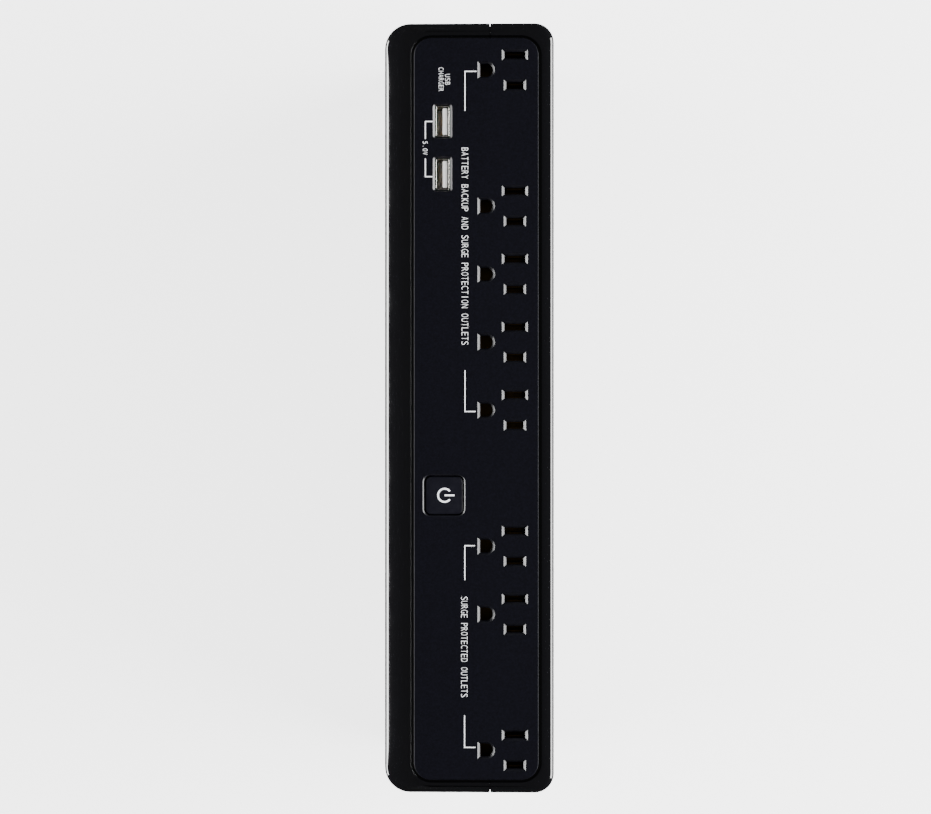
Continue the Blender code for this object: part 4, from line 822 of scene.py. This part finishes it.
def half_skin(sizes, left):
    """One half of the housing as a skin open along the seam.

    Each row is half a rounded rectangle. Its height at a point is the outlet face less the
    drop of the side it is on, blended across the width, and eased into the drop of the end
    over the last two corner radii of the length.
    """
    inset, depth, rim = housing_rows(sizes)
    side = 2 if left else 0
    edge_x = X_LOW if left else X_HIGH
    inward = 1 if left else -1
    seam = abs((SEAM_LEFT if left else SEAM_RIGHT) - edge_x)
    corner = sizes.corner_left if left else sizes.corner_right
    rim_corner = sizes.plate_corner + sizes.groove
    share = np.clip(1 - inset[:, side] / rim[side], 0, 1)
    radius = rim_corner + (corner - rim_corner) * share
    radius -= np.maximum(inset[:, side] - rim[side], 0)
    falling = depth[:, side] > TOP_Z - BASE_Z - sizes.base_round
    radius = np.where(falling, corner - inset[:, side], radius)[:, None]
    near = inset[:, side : side + 1] + radius
    head = Y_HIGH - inset[:, 1:2]
    tail = Y_LOW + inset[:, 3:4]
    across = np.array([0, 0.03, 0.25, 0.5, 0.75, 0.97])[None]
    along = np.concatenate((np.linspace(0.002, 0.05, 12), np.linspace(0.1, 0.5, 5)))
    along = np.concatenate((along, 1 - along[-2::-1]))[None]
    bend = np.radians(np.linspace(0, 90, 15))[None]
    end_u = seam + (near - seam) * across
    bow_u = near - radius * np.sin(bend)
    head_bow = head - radius + radius * np.cos(bend)
    tail_bow = tail + radius - radius * np.cos(bend)
    side_y = (head - radius) + (tail - head + 2 * radius) * along
    blank = np.zeros_like(along)
    u = np.hstack((end_u, bow_u, near - radius + blank, bow_u[:, ::-1], end_u[:, ::-1]))
    y = np.hstack((head + 0 * end_u, head_bow, side_y, tail_bow[:, ::-1], tail + 0 * end_u))
    x = edge_x + inward * u
    share_x = np.clip((x - X_LOW) / (X_HIGH - X_LOW), 0, 1)
    side_drop = depth[:, 2:3] + (depth[:, 0:1] - depth[:, 2:3]) * share_x
    end_drop = np.where(y > 0, depth[:, 1:2], depth[:, 3:4])
    to_end = np.clip((Y_HIGH - np.abs(y)) / (2 * sizes.corner_left), 0, 1)
    ease = to_end**2 * (3 - 2 * to_end)
    near_end = end_drop + (side_drop - end_drop) * 0.75
    z = TOP_Z - (near_end + (side_drop - near_end) * ease)
    rows = np.stack((x, y, z), -1)
    return skin(rows if left else rows[:, ::-1], wrap=False, caps=(False, True))


def vent_cutters(x):
    """Upright slots with softened corners through one side wall."""
    count = 12
    pitch = 6.5 * MM
    centre = -86 * MM
    half = 1.1 * MM
    z_span = (84 * MM, 110 * MM)
    soft = 0.5 * MM
    reach = 3 * MM
    cutters = []
    for y in centre + pitch * (np.arange(count) - (count - 1) / 2):
        outline = round_outline((y - half, y + half), z_span, soft, 3)
        cutters.append(prism(outline, x - reach, x + reach, "X"))
    return cutters


def seam_cutters(sizes):
    """The V that the seam makes down each end wall."""
    seam = (SEAM_LEFT + SEAM_RIGHT) / 2
    half = sizes.seam_notch_half
    deep = sizes.seam_notch
    flare = half * (1 + OVER / deep)
    cutters = []
    for y, outward in ((Y_HIGH, 1), (Y_LOW, -1)):
        outer = y + outward * OVER
        corners = [(seam, y - outward * deep), (seam + flare, outer), (seam - flare, outer)]
        cutters.append(prism(corners[::outward], BASE_Z - OVER, TOP_Z))
    return cutters


def seam_tongue(sizes):
    """The lap behind the seam: the outer form's section at the seam, 1.15 mm further in,
    0.5 mm thick and 4 mm wide, so that no light passes between the halves."""
    inward = 1.15 * MM
    thick = 0.5 * MM
    reach = 2 * MM
    rim_rows = 12  # the rows down to the shoulder, which the lap leaves out
    points, _ = half_skin(sizes, True)
    inset, _, _ = housing_rows(sizes)
    rows = points.reshape(len(inset), -1, 3)[rim_rows:, :, 1:]
    path = np.concatenate((rows[:, 0], rows[::-1, -1]))
    run = np.gradient(path, axis=0)
    side = np.stack((run[:, 1], -run[:, 0]), -1)
    side /= np.linalg.norm(side, axis=1)[:, None]
    inner = path + side * (inward + thick)
    outline = np.concatenate((path + side * inward, inner[::-1]))
    return prism(outline, SEAM_LEFT - reach, SEAM_RIGHT + reach, "X")


def foot_cutters(left):
    """Shallow seats for the feet of one half."""
    deep = 0.6 * MM
    cutters = []
    for node in named("foot_"):
        low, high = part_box(node)
        at = middle(node)
        if (at.x < 0) == left:
            radius = (high.x - low.x) / 2 + GAP
            cutters.append(rod(at.xy, radius, BASE_Z - OVER, BASE_Z + deep))
    return cutters


def moulded_edges(obj, sizes):
    smooth(obj)
    rim_edges(obj, sizes.edge_break)


def door_outline(grow):
    low, high = DOOR_BOX
    y_span = (low.y - grow, high.y + grow)
    return round_outline(y_span, (low.z - grow, high.z + grow), DOOR_CORNER + grow)


class SupplyHousing(bpy.types.Operator):
    """Makes the two halves of the housing, split along the seam beside the outlets"""

    bl_idname = "supply.housing"
    bl_label = "Housing"

    def execute(self, context):
        sizes = context.scene.supply_sizes
        for side, make in (("left", self.left_half), ("right", self.right_half)):
            shell = bare(f"{side}_housing", half_skin(sizes, side == "left"))
            wall = shell.modifiers.new("wall", "SOLIDIFY")
            wall.thickness = sizes.wall
            wall.offset = -1
            wall.use_even_offset = True
            settle(shell)
            make(shell, sizes)
            moulded_edges(shell, sizes)
            dress(shell, HOUSING_SLOT, "housing", f"{side}_shell")
        return {"FINISHED"}

    def left_half(self, shell, sizes):
        """The half with the door's rebate, the battery's opening and the service pocket, and
        with the lap that joins it to the other half."""
        door_back = DOOR_BOX[0].x + DOOR_THICK
        wall = 2.4 * MM
        boss_radius = 6.6 * MM
        cup_radius = 4.9 * MM
        cup_depth = 2.3 * MM
        pocket = ((14 * MM, 76 * MM), (-27 * MM, 5 * MM))  # its Z span, then its X span
        pocket_floor = Y_LOW + 4 * MM
        pocket_corner = 2 * MM
        around = [(low - wall, high + wall) for low, high in pocket]
        collar = prism(round_outline(*around, 3 * MM), Y_LOW + MM, pocket_floor + wall, "Y")
        screw = middle("door_screw").yz
        boss = rod(screw, boss_radius, door_back + MM, door_back + 11 * MM, "X")
        frame_lip = prism(door_outline(wall), X_LOW + MM, door_back + DOOR_THICK, "X")
        for shape in (frame_lip, collar, boss):
            carve(shell, shape, "UNION")
        low, high = BATTERY_BOX
        play = 0.7 * MM
        y_span = (low.y - play, high.y + play)
        opening = round_outline(y_span, (low.z - play, high.z + play), 2.3 * MM)
        carve(shell, prism(door_outline(GAP), X_LOW - OVER, door_back + GAP, "X"))
        carve(shell, prism(opening, X_LOW - OVER, door_back + 4 * MM, "X"))
        carve(shell, prism(round_outline(*pocket, pocket_corner), Y_LOW - OVER, pocket_floor, "Y"))
        holes = []
        for node, radius in (("cord_gland", 6.5 * MM), ("breaker_nut", 5.8 * MM)):
            at = middle(node)
            holes.append(rod((at.z, at.x), radius, pocket_floor - OVER, pocket_floor + 5 * MM, "Y"))
        holes.append(rod(screw, cup_radius, X_LOW - OVER, door_back + cup_depth, "X"))
        holes += vent_cutters(X_LOW) + foot_cutters(True) + seam_cutters(sizes)
        carve(shell, gather(holes))
        carve(shell, rod(screw, SHANK_ROOM, door_back + 2 * MM, door_back + 12 * MM, "X"))
        put("seam_tongue", seam_tongue(sizes), HOUSING_SLOT, "housing")

    def right_half(self, shell, sizes):
        """The half with the bosses of the six housing screws."""
        boss_radius = 4 * MM
        head_depth = 2.3 * MM
        bosses = []
        holes = []
        for node in named("housing_screw_"):
            at = middle(node).yz
            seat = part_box(node)[1].x - head_depth
            bosses.append(rod(at, boss_radius, X_HIGH - 8 * MM, X_HIGH - MM, "X"))
            holes.append(rod(at, HEAD_ROOM, seat, X_HIGH + OVER, "X"))
        carve(shell, gather(bosses), "UNION")
        holes += vent_cutters(X_HIGH) + foot_cutters(False) + seam_cutters(sizes)
        carve(shell, gather(holes))


# ---------------------------------------------------------------- outlet plate


def funnel(wide, close, depth, low):
    """A hole with a lead-in: straight above the face, tapering over depth, straight below."""
    heights = (TOP_Z + OVER, TOP_Z, TOP_Z - depth, low)
    return stack(zip((wide, wide, close, close), heights))


class SupplyPlate(bpy.types.Operator):
    """Makes the outlet plate with its slots, USB windows and button opening"""

    bl_idname = "supply.plate"
    bl_label = "Outlet plate"

    def execute(self, context):
        sizes = context.scene.supply_sizes
        low = TOP_Z - sizes.plate_thick
        chamfer = sizes.plate_chamfer
        corner = sizes.plate_corner
        full = plan(*PLATE_BOX, (0, 0), corner, 14)
        inner = plan(*PLATE_BOX, (-chamfer, -chamfer), corner - chamfer, 14)
        plate = bare("outlet_plate", stack([(inner, TOP_Z), (full, TOP_Z - chamfer), (full, low)]))
        under = low - OVER
        carve(plate, gather([hole for y in OUTLET_YS for hole in self.outlet(sizes, y, under)]))
        carve(plate, gather(self.windows(under)))
        sharp = 25
        smooth(plate, sharp)
        rim_edges(plate, 0.12 * MM, sharp)
        dress(plate, "matt_black_plate", "housing", "face_plate")
        plate.data.materials.append(finish("polished_lead_in"))
        self.polish(plate.data)
        return {"FINISHED"}

    def polish(self, mesh):
        """Gives the sloping faces round every opening the second finish of the plate."""
        wall = 0.05  # the most that a wall's normal leans up
        flat = 0.98
        margin = 2 * MM
        lean = np.abs(per_face(mesh, "normal")[:, 2])
        sloping = (lean > wall) & (lean < flat)
        x, y, _ = per_face(mesh, "center").T
        inside = (x > PLATE_X[0] + margin) & (x < PLATE_X[1] - margin)
        inside &= (y > PLATE_Y[0] + margin) & (y < PLATE_Y[1] - margin)
        mesh.polygons.foreach_set("material_index", (sloping & inside).astype(np.int32))

    def outlet(self, sizes, y, under):
        """Two blade slots and a D-shaped earth hole, each with its lead-in."""
        end = sizes.funnel_end
        side = sizes.funnel_side
        shapes = []
        for shift, width, tall in ((0.5, 8.7 * MM, 2.7 * MM), (-0.5, 7.1 * MM, 2.8 * MM)):
            at = (OUTLET_X, y + shift * BLADE_SPACING)
            wide = rectangle(*at, width + 2 * end, tall + 2 * side)
            shapes.append(funnel(wide, rectangle(*at, width, tall), sizes.funnel_depth, under))
        wide = d_outline(EARTH_X, y, end, side)
        shapes.append(funnel(wide, d_outline(EARTH_X, y), sizes.funnel_depth, under))
        return shapes

    def windows(self, under):
        """Openings for the two USB shells and for the power button."""
        shapes = []
        rows = [(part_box(f"usb_shell_{n}"), (1.2, 0.75), 1.2, 0.3, 0.8, 0.6) for n in (1, 2)]
        rows.append((button_faces(), (0.95, 0.95), 3.2, 0.45, 2.7, 0.5))
        for box, flare, wide_corner, play, close_corner, depth in rows:
            flare = [side * MM for side in flare]
            wide = plan(*box, flare, wide_corner * MM, 8)
            close = plan(*box, (play * MM, play * MM), close_corner * MM, 8)
            shapes.append(funnel(wide, close, depth * MM, under))
        return shapes


def button_faces():
    """The cap's own box, inside the flange that keeps it in the plate."""
    flange = Vector((0.9 * MM, 0.9 * MM, 0))
    low, high = BUTTON_BOX
    return low + flange, high - flange


class SupplyLegends(bpy.types.Operator):
    """Makes the printed lines and generic words beside the outlets"""

    bl_idname = "supply.legends"
    bl_label = "Printed legends"

    def execute(self, context):
        sizes = context.scene.supply_sizes
        self.z = TOP_Z + LIFT
        self.thick = sizes.ink_thick
        self.line = sizes.ink_line
        self.backup_group()
        self.surge_group()
        self.charger_group()
        return {"FINISHED"}

    def path(self, *points):
        run = [(x * MM, y * MM) for x, y in points]
        return flat_mark(stroke(run, self.line), self.z, self.thick)

    def text(self, text, x_span, y_span):
        x_span = [x * MM for x in x_span]
        y_span = [y * MM for y in y_span]
        return words(text, x_span, y_span, self.z, self.thick)

    def print_group(self, name, shapes):
        put(name, gather(shapes), "legend_ink", "housing")

    def backup_group(self):
        self.print_group(
            "backup_legend",
            [
                self.path((3.0, 141.0), (-1.8, 141.0), (-1.8, 124.5)),
                self.text(
                    "BATTERY BACKUP AND SURGE PROTECTION OUTLETS", (-3.3, -0.2), (109.0, 26.5)
                ),
                self.path((-1.8, 15.8), (-1.8, -1.5), (2.7, -1.5)),
            ],
        )

    def surge_group(self):
        self.print_group(
            "surge_legend",
            [
                self.path((2.3, -57.7), (-1.9, -57.7), (-1.9, -72.1)),
                self.text("SURGE PROTECTED OUTLETS", (-3.5, -0.5), (-79.1, -121.1)),
                self.path((-2.0, -128.8), (-2.0, -142.2), (2.5, -142.2)),
            ],
        )

    def charger_group(self):
        self.print_group(
            "charger_legend",
            [
                self.text("USB", (-10.2, -7.9), (139.8, 135.4)),
                self.text("CHARGER", (-12.9, -10.6), (142.6, 132.7)),
                self.path((-15.4, 120.0), (-18.4, 120.0), (-18.4, 112.7)),
                self.text("5.0V", (-19.5, -17.3), (111.7, 106.1)),
                self.path((-18.4, 104.5), (-18.4, 96.9), (-15.4, 96.9)),
            ],
        )


# ---------------------------------------------------------------- button and charger


class SupplyButton(bpy.types.Operator):
    """Makes the power button's cap, its stem and its printed symbol"""

    bl_idname = "supply.button"
    bl_label = "Power button"

    def execute(self, context):
        sizes = context.scene.supply_sizes
        low, high = button_faces()
        at = (low + high) / 2
        top = TOP_Z - sizes.plate_thick - GAP  # of the flange
        lap = 0.5 * MM
        spans = ((low.x, high.x), (low.y, high.y), (top - lap, high.z))
        cap = rounded_slab(*spans, 2.3 * MM, 0.6 * MM)
        flange = prism(plan(*BUTTON_BOX, (0, 0), 3.2 * MM), top - MM, top)
        stem = rod(at.xy, 2.4 * MM, BUTTON_BOX[0].z, top - lap)
        shape = gather([cap, flange, stem])
        node = "power_button"
        smooth(put("power_button_cap", shape, "satin_black_button", node, node), 40)
        put("power_symbol", self.symbol(at, high.z + LIFT, sizes.ink_thick), "legend_ink", node)
        return {"FINISHED"}

    def symbol(self, at, z, thick):
        """The usual mark for power: an open ring, with a bar from its middle out towards +X."""
        centre = (at.x + 0.25 * MM, at.y + 0.1 * MM)
        outer = 3.1 * MM
        inner = outer - 0.7 * MM
        start = 38  # degrees from +X
        end = 360 - start
        outside = arc(centre, outer, start, end, 40)
        ring = np.concatenate((outside, arc(centre, inner, end, start, 40)))
        bar = stroke([centre, (centre[0] + 4.1 * MM, centre[1])], 0.68 * MM)
        return gather([flat_mark(outline, z, thick) for outline in (ring, bar)])


class SupplyCharger(bpy.types.Operator):
    """Makes the two USB shells with rolled mouths, their tongues and their contacts"""

    bl_idname = "supply.charger"
    bl_label = "USB receptacles"

    def execute(self, context):
        for number in ("1", "2"):
            self.shell(number)
            self.tongue(number)
        return {"FINISHED"}

    def shell(self, number):
        """A folded sheet: outer and inner rounded rectangles joined by a rolled mouth."""
        low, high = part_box(f"usb_shell_{number}")
        sheet = 0.35 * MM
        corner = 0.9 * MM
        floor = low.z + 0.1 * MM
        rows = [(sheet, floor)]
        for turn in np.radians(np.linspace(0, 180, 9)):
            drop = sheet / 2 * (1 - math.sin(turn))
            rows.append((sheet / 2 * (1 + math.cos(turn)), high.z - drop))
        rows += [(0, low.z), (sheet, floor)]
        rings = [at_height(plan(low, high, (-i, -i), corner - i, 6), z) for i, z in rows]
        shape = skin(rings, caps=(False, False))
        node = f"usb_shell_{number}"
        obj = put(f"usb_receptacle_{number}", shape, "usb_nickel", "housing", node)
        weld(obj)
        smooth(obj, 50)

    def tongue(self, number):
        """The white tongue, with a bevelled tip that glows as painted light, and four gold contacts
        on its -X face.
        """
        node = f"usb_tongue_{number}"
        low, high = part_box(node)
        at = middle(f"usb_shell_{number}")
        x_low = at.x - 0.05 * MM
        x_span = (x_low, x_low + 2.0 * MM)
        half = 5.65 * MM
        y_span = (at.y - half, at.y + half)
        soft = 0.4 * MM
        base_top = low.z + 3 * MM
        blade = rounded_slab(x_span, y_span, (low.z + 2 * MM, high.z), soft, soft, 3)
        base = prism(plan(low, high, (0, 0), soft, 3), low.z, base_top)
        name = f"usb_tongue_body_{number}"
        obj = put(name, gather([blade, base]), "usb_tongue_white", "housing", node)
        smooth(obj, 40)
        # the tip's faces take the glowing finish: painted light on the tongue's end
        obj.data.materials.append(finish("usb_tongue_tip"))
        tip_deep = 0.2 * MM
        tip = per_face(obj.data, "center")[:, 2] > high.z - tip_deep
        obj.data.polygons.foreach_set("material_index", tip.astype(np.int32))
        tall = high.z - 1.2 * MM - base_top
        pads = []
        for place in (-3.5, -1.0, 1.0, 3.5):
            pad = rectangle(at.y + place * MM, base_top + tall / 2, 1.0 * MM, tall)
            pads.append(prism(pad, x_low - 0.12 * MM, x_low + 0.2 * MM, "X"))
        put(f"usb_contacts_{number}", gather(pads), "contact_gold", "housing")


# ---------------------------------------------------------------- door, screws, feet


class SupplyDoor(bpy.types.Operator):
    """Makes the battery door with its finger recess and screw cup"""

    bl_idname = "supply.door"
    bl_label = "Battery door"

    def execute(self, context):
        low, high = DOOR_BOX
        back = low.x + DOOR_THICK
        spans = ((low.y, high.y), (low.z, high.z), (0, DOOR_THICK))
        slab = rounded_slab(*spans, DOOR_CORNER, 0.4 * MM)
        door = bare("battery_hatch", x_facing(slab, back))
        screw = middle("door_screw").yz
        cup_radius = 4.6 * MM
        carve(door, rod(screw, cup_radius, back - 0.6 * MM, back + 2 * MM, "X"), "UNION")
        carve(door, rod(screw, HEAD_ROOM, low.x - OVER, back + 0.8 * MM, "X"))
        carve(door, rod(screw, SHANK_ROOM, back, back + 3 * MM, "X"))
        grip = high.y - 11.4 * MM
        grip_deep = 0.7 * MM
        half_wide = 4 * MM
        half_tall = 14 * MM
        z_span = (screw[1] - half_tall, screw[1] + half_tall)
        recess = round_outline((grip - half_wide, grip + half_wide), z_span, 3.9 * MM)
        carve(door, prism(recess, low.x - OVER, low.x + grip_deep, "X"))
        moulded_edges(door, context.scene.supply_sizes)
        dress(door, HOUSING_SLOT, "battery_door", "battery_door")
        return {"FINISHED"}


def pan_screw(name, node, body, axis):
    """A pan-head screw: a domed head with a cross recess, over a plain shank. Its head faces
    along the axis, +X or -X."""
    low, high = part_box(node)
    head_x = high.x if axis == "X" else low.x
    at = middle(node).yz
    reach = high.x - low.x
    head = 2.8 * MM
    tall = 2.0 * MM
    dome = 0.45 * tall
    shank = 1.4 * MM
    soft = 0.15 * MM
    point = 1 * MM
    profile = [(head * 0.02, 0)]
    profile += [(head * (1 - inward), -dome * down) for inward, down in quarter(7, 15)]
    profile += [
        (head, soft - tall),
        (head - soft, -tall),
        (shank, -tall),
        (shank, point - reach),
        (shank * 0.4, -reach),
    ]
    obj = bare(name, turned(profile, (head_x, *at), axis))
    outward = 1 if axis == "X" else -1
    cross_deep = 1.1 * MM
    ends = sorted((head_x - outward * cross_deep, head_x + outward * OVER))
    long = 3.8 * MM
    thin = 0.8 * MM
    for width, height in ((long, thin), (thin, long)):
        carve(obj, prism(rectangle(*at, width, height), *ends, "X"))
    smooth(obj)
    dress(obj, "zinc_plate", body, node)


class SupplyScrews(bpy.types.Operator):
    """Makes the six housing screws and the door's screw, with cross recesses"""

    bl_idname = "supply.screws"
    bl_label = "Screws"

    def execute(self, context):
        for node in named("housing_screw_"):
            pan_screw(node.replace("housing", "case"), node, "housing", "X")
        pan_screw("door_fixing", "door_screw", "battery_door", "-X")
        return {"FINISHED"}


class SupplyFeet(bpy.types.Operator):
    """Makes the four rubber feet"""

    bl_idname = "supply.feet"
    bl_label = "Rubber feet"

    def execute(self, context):
        top_edge = 0.1 * MM
        edge = 0.7 * MM
        dish = 0.25 * MM
        for node in named("foot_"):
            low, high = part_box(node)
            radius = (high.x - low.x) / 2
            profile = [(radius - top_edge, high.z), (radius, high.z - top_edge)]
            profile += [(radius - inward, up) for up, inward in edge * quarter(6)]
            profile += [(radius * 0.55, 0), (radius * 0.5, dish)]
            shape = turned(profile, (*middle(node).xy, 0))
            smooth(put(f"rubber_{node}", shape, "black_rubber", "housing", node))
        return {"FINISHED"}


# ---------------------------------------------------------------- service pocket


class SupplyService(bpy.types.Operator):
    """Makes the cord's bushing, and the nut and button of the breaker"""

    bl_idname = "supply.service"
    bl_label = "Bushing and breaker"

    def execute(self, context):
        self.bushing()
        self.nut()
        self.reset_button()
        return {"FINISHED"}

    def facing(self, node):
        """The middle of a node's -Y face, half its width and its depth."""
        low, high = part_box(node)
        at = middle(node)
        return Vector((at.x, low.y, at.z)), (high.x - low.x) / 2, high.y - low.y

    def bushing(self):
        """A flanged rubber tube with a rounded mouth and a waist behind the flange."""
        at, flange, deep = self.facing("cord_gland")
        bore = 4.2 * MM
        body = 6.2 * MM
        soft = 0.8 * MM
        thick = 2 * MM
        rim = 0.2 * MM
        rows = [(bore, -deep)]
        rows += [(bore + outward, -down) for down, outward in soft * quarter(5)]
        rows += [(flange - inward, -down) for inward, down in soft * quarter(5)]
        rows += [(flange, rim - thick), (flange - rim, -thick), (body, -thick), (body, -deep)]
        rows.append((bore, -deep))
        shape = turned(rows, at, "-Y", 48, (False, False))
        obj = put("cord_bushing", shape, "black_rubber", "housing", "cord_gland")
        weld(obj)
        smooth(obj)

    def nut(self):
        """A hexagon with a chamfered face, bored for the breaker's neck."""
        at, reach, tall = self.facing("breaker_nut")
        back = at.y + tall
        corners = arc((at.z, at.x), reach, 90, 390, 5)
        flats = reach * math.cos(math.pi / 6)
        obj = bare("breaker_ring_nut", prism(corners, at.y, back, "Y"))
        wide = reach + MM
        chamfer = 1.1 * MM
        profile = [(flats - 0.2 * MM, 0), (wide, -chamfer), (wide, -tall - OVER)]
        carve(obj, turned(profile, at, "-Y", 60), "INTERSECT")
        carve(obj, rod((at.z, at.x), 5.6 * MM, at.y - OVER, back + OVER, "Y"))
        smooth(obj)
        dress(obj, "zinc_plate", "housing", "breaker_nut")

    def reset_button(self):
        """A round push button with a rounded edge and a shallow dish."""
        node = "breaker_reset_button"
        at, radius, deep = self.facing(node)
        edge = 0.6 * MM
        dish = 0.15 * MM
        profile = [(radius * 0.5, -dish), (radius * 0.6, 0)]
        profile += [(radius - inward, -down) for inward, down in edge * quarter(6)]
        profile.append((radius, -deep))
        shape = turned(profile, at, "-Y")
        smooth(put("reset_plunger", shape, "breaker_white", "breaker_button", node))


class SupplyBattery(bpy.types.Operator):
    """Makes the sealed battery's case, with its lid line"""

    bl_idname = "supply.battery"
    bl_label = "Battery case"

    def execute(self, context):
        low, high = BATTERY_BOX
        corner = 2.2 * MM
        groove = 0.6 * MM
        edge = 1.0 * MM
        lid_tall = 14 * MM
        lid = high.z - lid_tall
        rows = [(inward, high.z - down) for inward, down in edge * quarter(5)]
        rows += [(0, lid + groove), (groove, lid + groove / 2), (groove, lid - groove / 2)]
        rows += [(0, lid - groove), (0, low.z + edge), (edge, low.z)]
        shape = stack([(plan(low, high, (-i, -i), corner - i, 5), z) for i, z in rows])
        smooth(put("battery_block", shape, "battery_grey", "housing", "battery_case"))
        return {"FINISHED"}


class SupplyBacking(bpy.types.Operator):
    """Makes a black sheet that closes each outlet block from below, put there as painted shade: it
    keeps the slots dark and the board out of sight
    """

    bl_idname = "supply.backing"
    bl_label = "Insulating sheets"

    def execute(self, context):
        thick = 0.4 * MM
        corner = 4 * MM
        for bank in ("backup", "surge"):
            low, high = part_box(f"{bank}_outlet_block")
            top = low.z - GAP
            sheet = prism(plan(low, high, (0, 0), corner), top - thick, top)
            # a dark sheet as painted shade under the slots
            put(f"{bank}_backing_sheet", sheet, "component_black", "housing")
        return {"FINISHED"}


class SupplyInside(bpy.types.Operator):
    """Gives every carried-over part of the frame its finish"""

    bl_idname = "supply.inside"
    bl_label = "Inner parts"

    def execute(self, context):
        for obj in NODES.values():
            if obj.hide_render:
                continue
            slot = obj.data.materials[0].name
            obj.data.materials[0] = finish(slot)
        return {"FINISHED"}


# ---------------------------------------------------------------- studio


class SupplyStage(bpy.types.Operator):
    """Makes the camera, the pale floor and the soft studio light"""

    bl_idname = "supply.stage"
    bl_label = "Studio"

    def execute(self, context):
        self.camera(context)
        self.floor()
        self.lights(context)
        return {"FINISHED"}

    def camera(self, context):
        data = bpy.data.cameras.new("camera")
        data.sensor_width = 36.0
        data.lens = 95.0
        seen = 390 * MM  # across the picture's wider side
        aim = (-1.6 * MM, 0.4 * MM)
        distance = seen * data.lens / data.sensor_width
        camera = bpy.data.objects.new("camera", data)
        camera.location = (*aim, TOP_Z + distance)
        context.scene.collection.objects.link(camera)
        context.scene.camera = camera

    def floor(self):
        """A sheet that glows white to the camera, gives little light and is not reflected."""
        half = 4.0
        seen_glow = 3.0
        unseen_glow = 0.25
        corners = [(-half, -half, 0), (half, -half, 0), (half, half, 0), (-half, half, 0)]
        floor = bare("studio_floor", (corners, [(0, 1, 2, 3)]))
        paper = bpy.context.scene.supply_colours.floor
        material, tree, shader, place = new_finish("matt_paper", paper, 0.9)
        shader.inputs["Specular IOR Level"].default_value = 0.1
        mottle(tree, shader, noise(tree, place, 0.6, 1.0), paper, 0.98)
        glow(shader, paper, seen_glow)
        seen = add_node(tree, "ShaderNodeLightPath").outputs["Is Camera Ray"]
        ends = {"Value": seen, "To Min": unseen_glow, "To Max": seen_glow}
        strength = add_node(tree, "ShaderNodeMapRange", ends).outputs["Result"]
        tree.links.new(strength, shader.inputs["Emission Strength"])
        floor.data.materials.append(material)
        floor.visible_glossy = False

    def lights(self, context):
        world = bpy.data.worlds.new("studio")
        context.scene.world = world
        world.use_nodes = True
        back = world.node_tree.nodes["Background"]
        back.inputs["Color"].default_value = (1, 1, 1, 1)
        back.inputs["Strength"].default_value = 0.09
        self.panel("right_panel", (1.7, 0, 0.56), (1.1, 2.0), 210)
        self.panel("left_panel", (-1.7, 0, 0.3), (0.6, 2.0), 170)

    def panel(self, name, place, size, power):
        """A soft rectangular light that faces the object."""
        data = bpy.data.lights.new(name, "AREA")
        data.shape = "RECTANGLE"
        data.size = size[1]
        data.size_y = size[0]
        data.energy = power
        panel = bpy.data.objects.new(name, data)
        panel.location = place
        towards = Vector((0, 0, 0.1)) - panel.location
        panel.rotation_euler = towards.to_track_quat("-Z", "Y").to_euler()
        panel.visible_camera = False
        bpy.context.scene.collection.objects.link(panel)


class SupplyPanel(bpy.types.Panel):
    """Lists the steps that make the power supply"""

    bl_idname = "VIEW3D_PT_supply"
    bl_label = "Power supply"
    bl_space_type = "VIEW_3D"
    bl_region_type = "UI"
    bl_category = "Power supply"

    def draw(self, context):
        for operator in OPERATORS:
            self.layout.operator(operator.bl_idname)


OPERATORS = (
    SupplyStage,
    SupplyHousing,
    SupplyPlate,
    SupplyLegends,
    SupplyButton,
    SupplyCharger,
    SupplyDoor,
    SupplyScrews,
    SupplyFeet,
    SupplyService,
    SupplyBattery,
    SupplyBacking,
    SupplyInside,
)
CLASSES = (SupplySizes, SupplyColours, *OPERATORS, SupplyPanel)


def register():
    for cls in CLASSES:
        bpy.utils.register_class(cls)
    bpy.types.Scene.supply_sizes = bpy.props.PointerProperty(type=SupplySizes)
    bpy.types.Scene.supply_colours = bpy.props.PointerProperty(type=SupplyColours)


def unregister():
    del bpy.types.Scene.supply_colours
    del bpy.types.Scene.supply_sizes
    for cls in reversed(CLASSES):
        bpy.utils.unregister_class(cls)


def main():
    register()
    for operator in OPERATORS:
        group, step = operator.bl_idname.split(".")
        getattr(getattr(bpy.ops, group), step)()


if __name__ == "__main__":
    main()
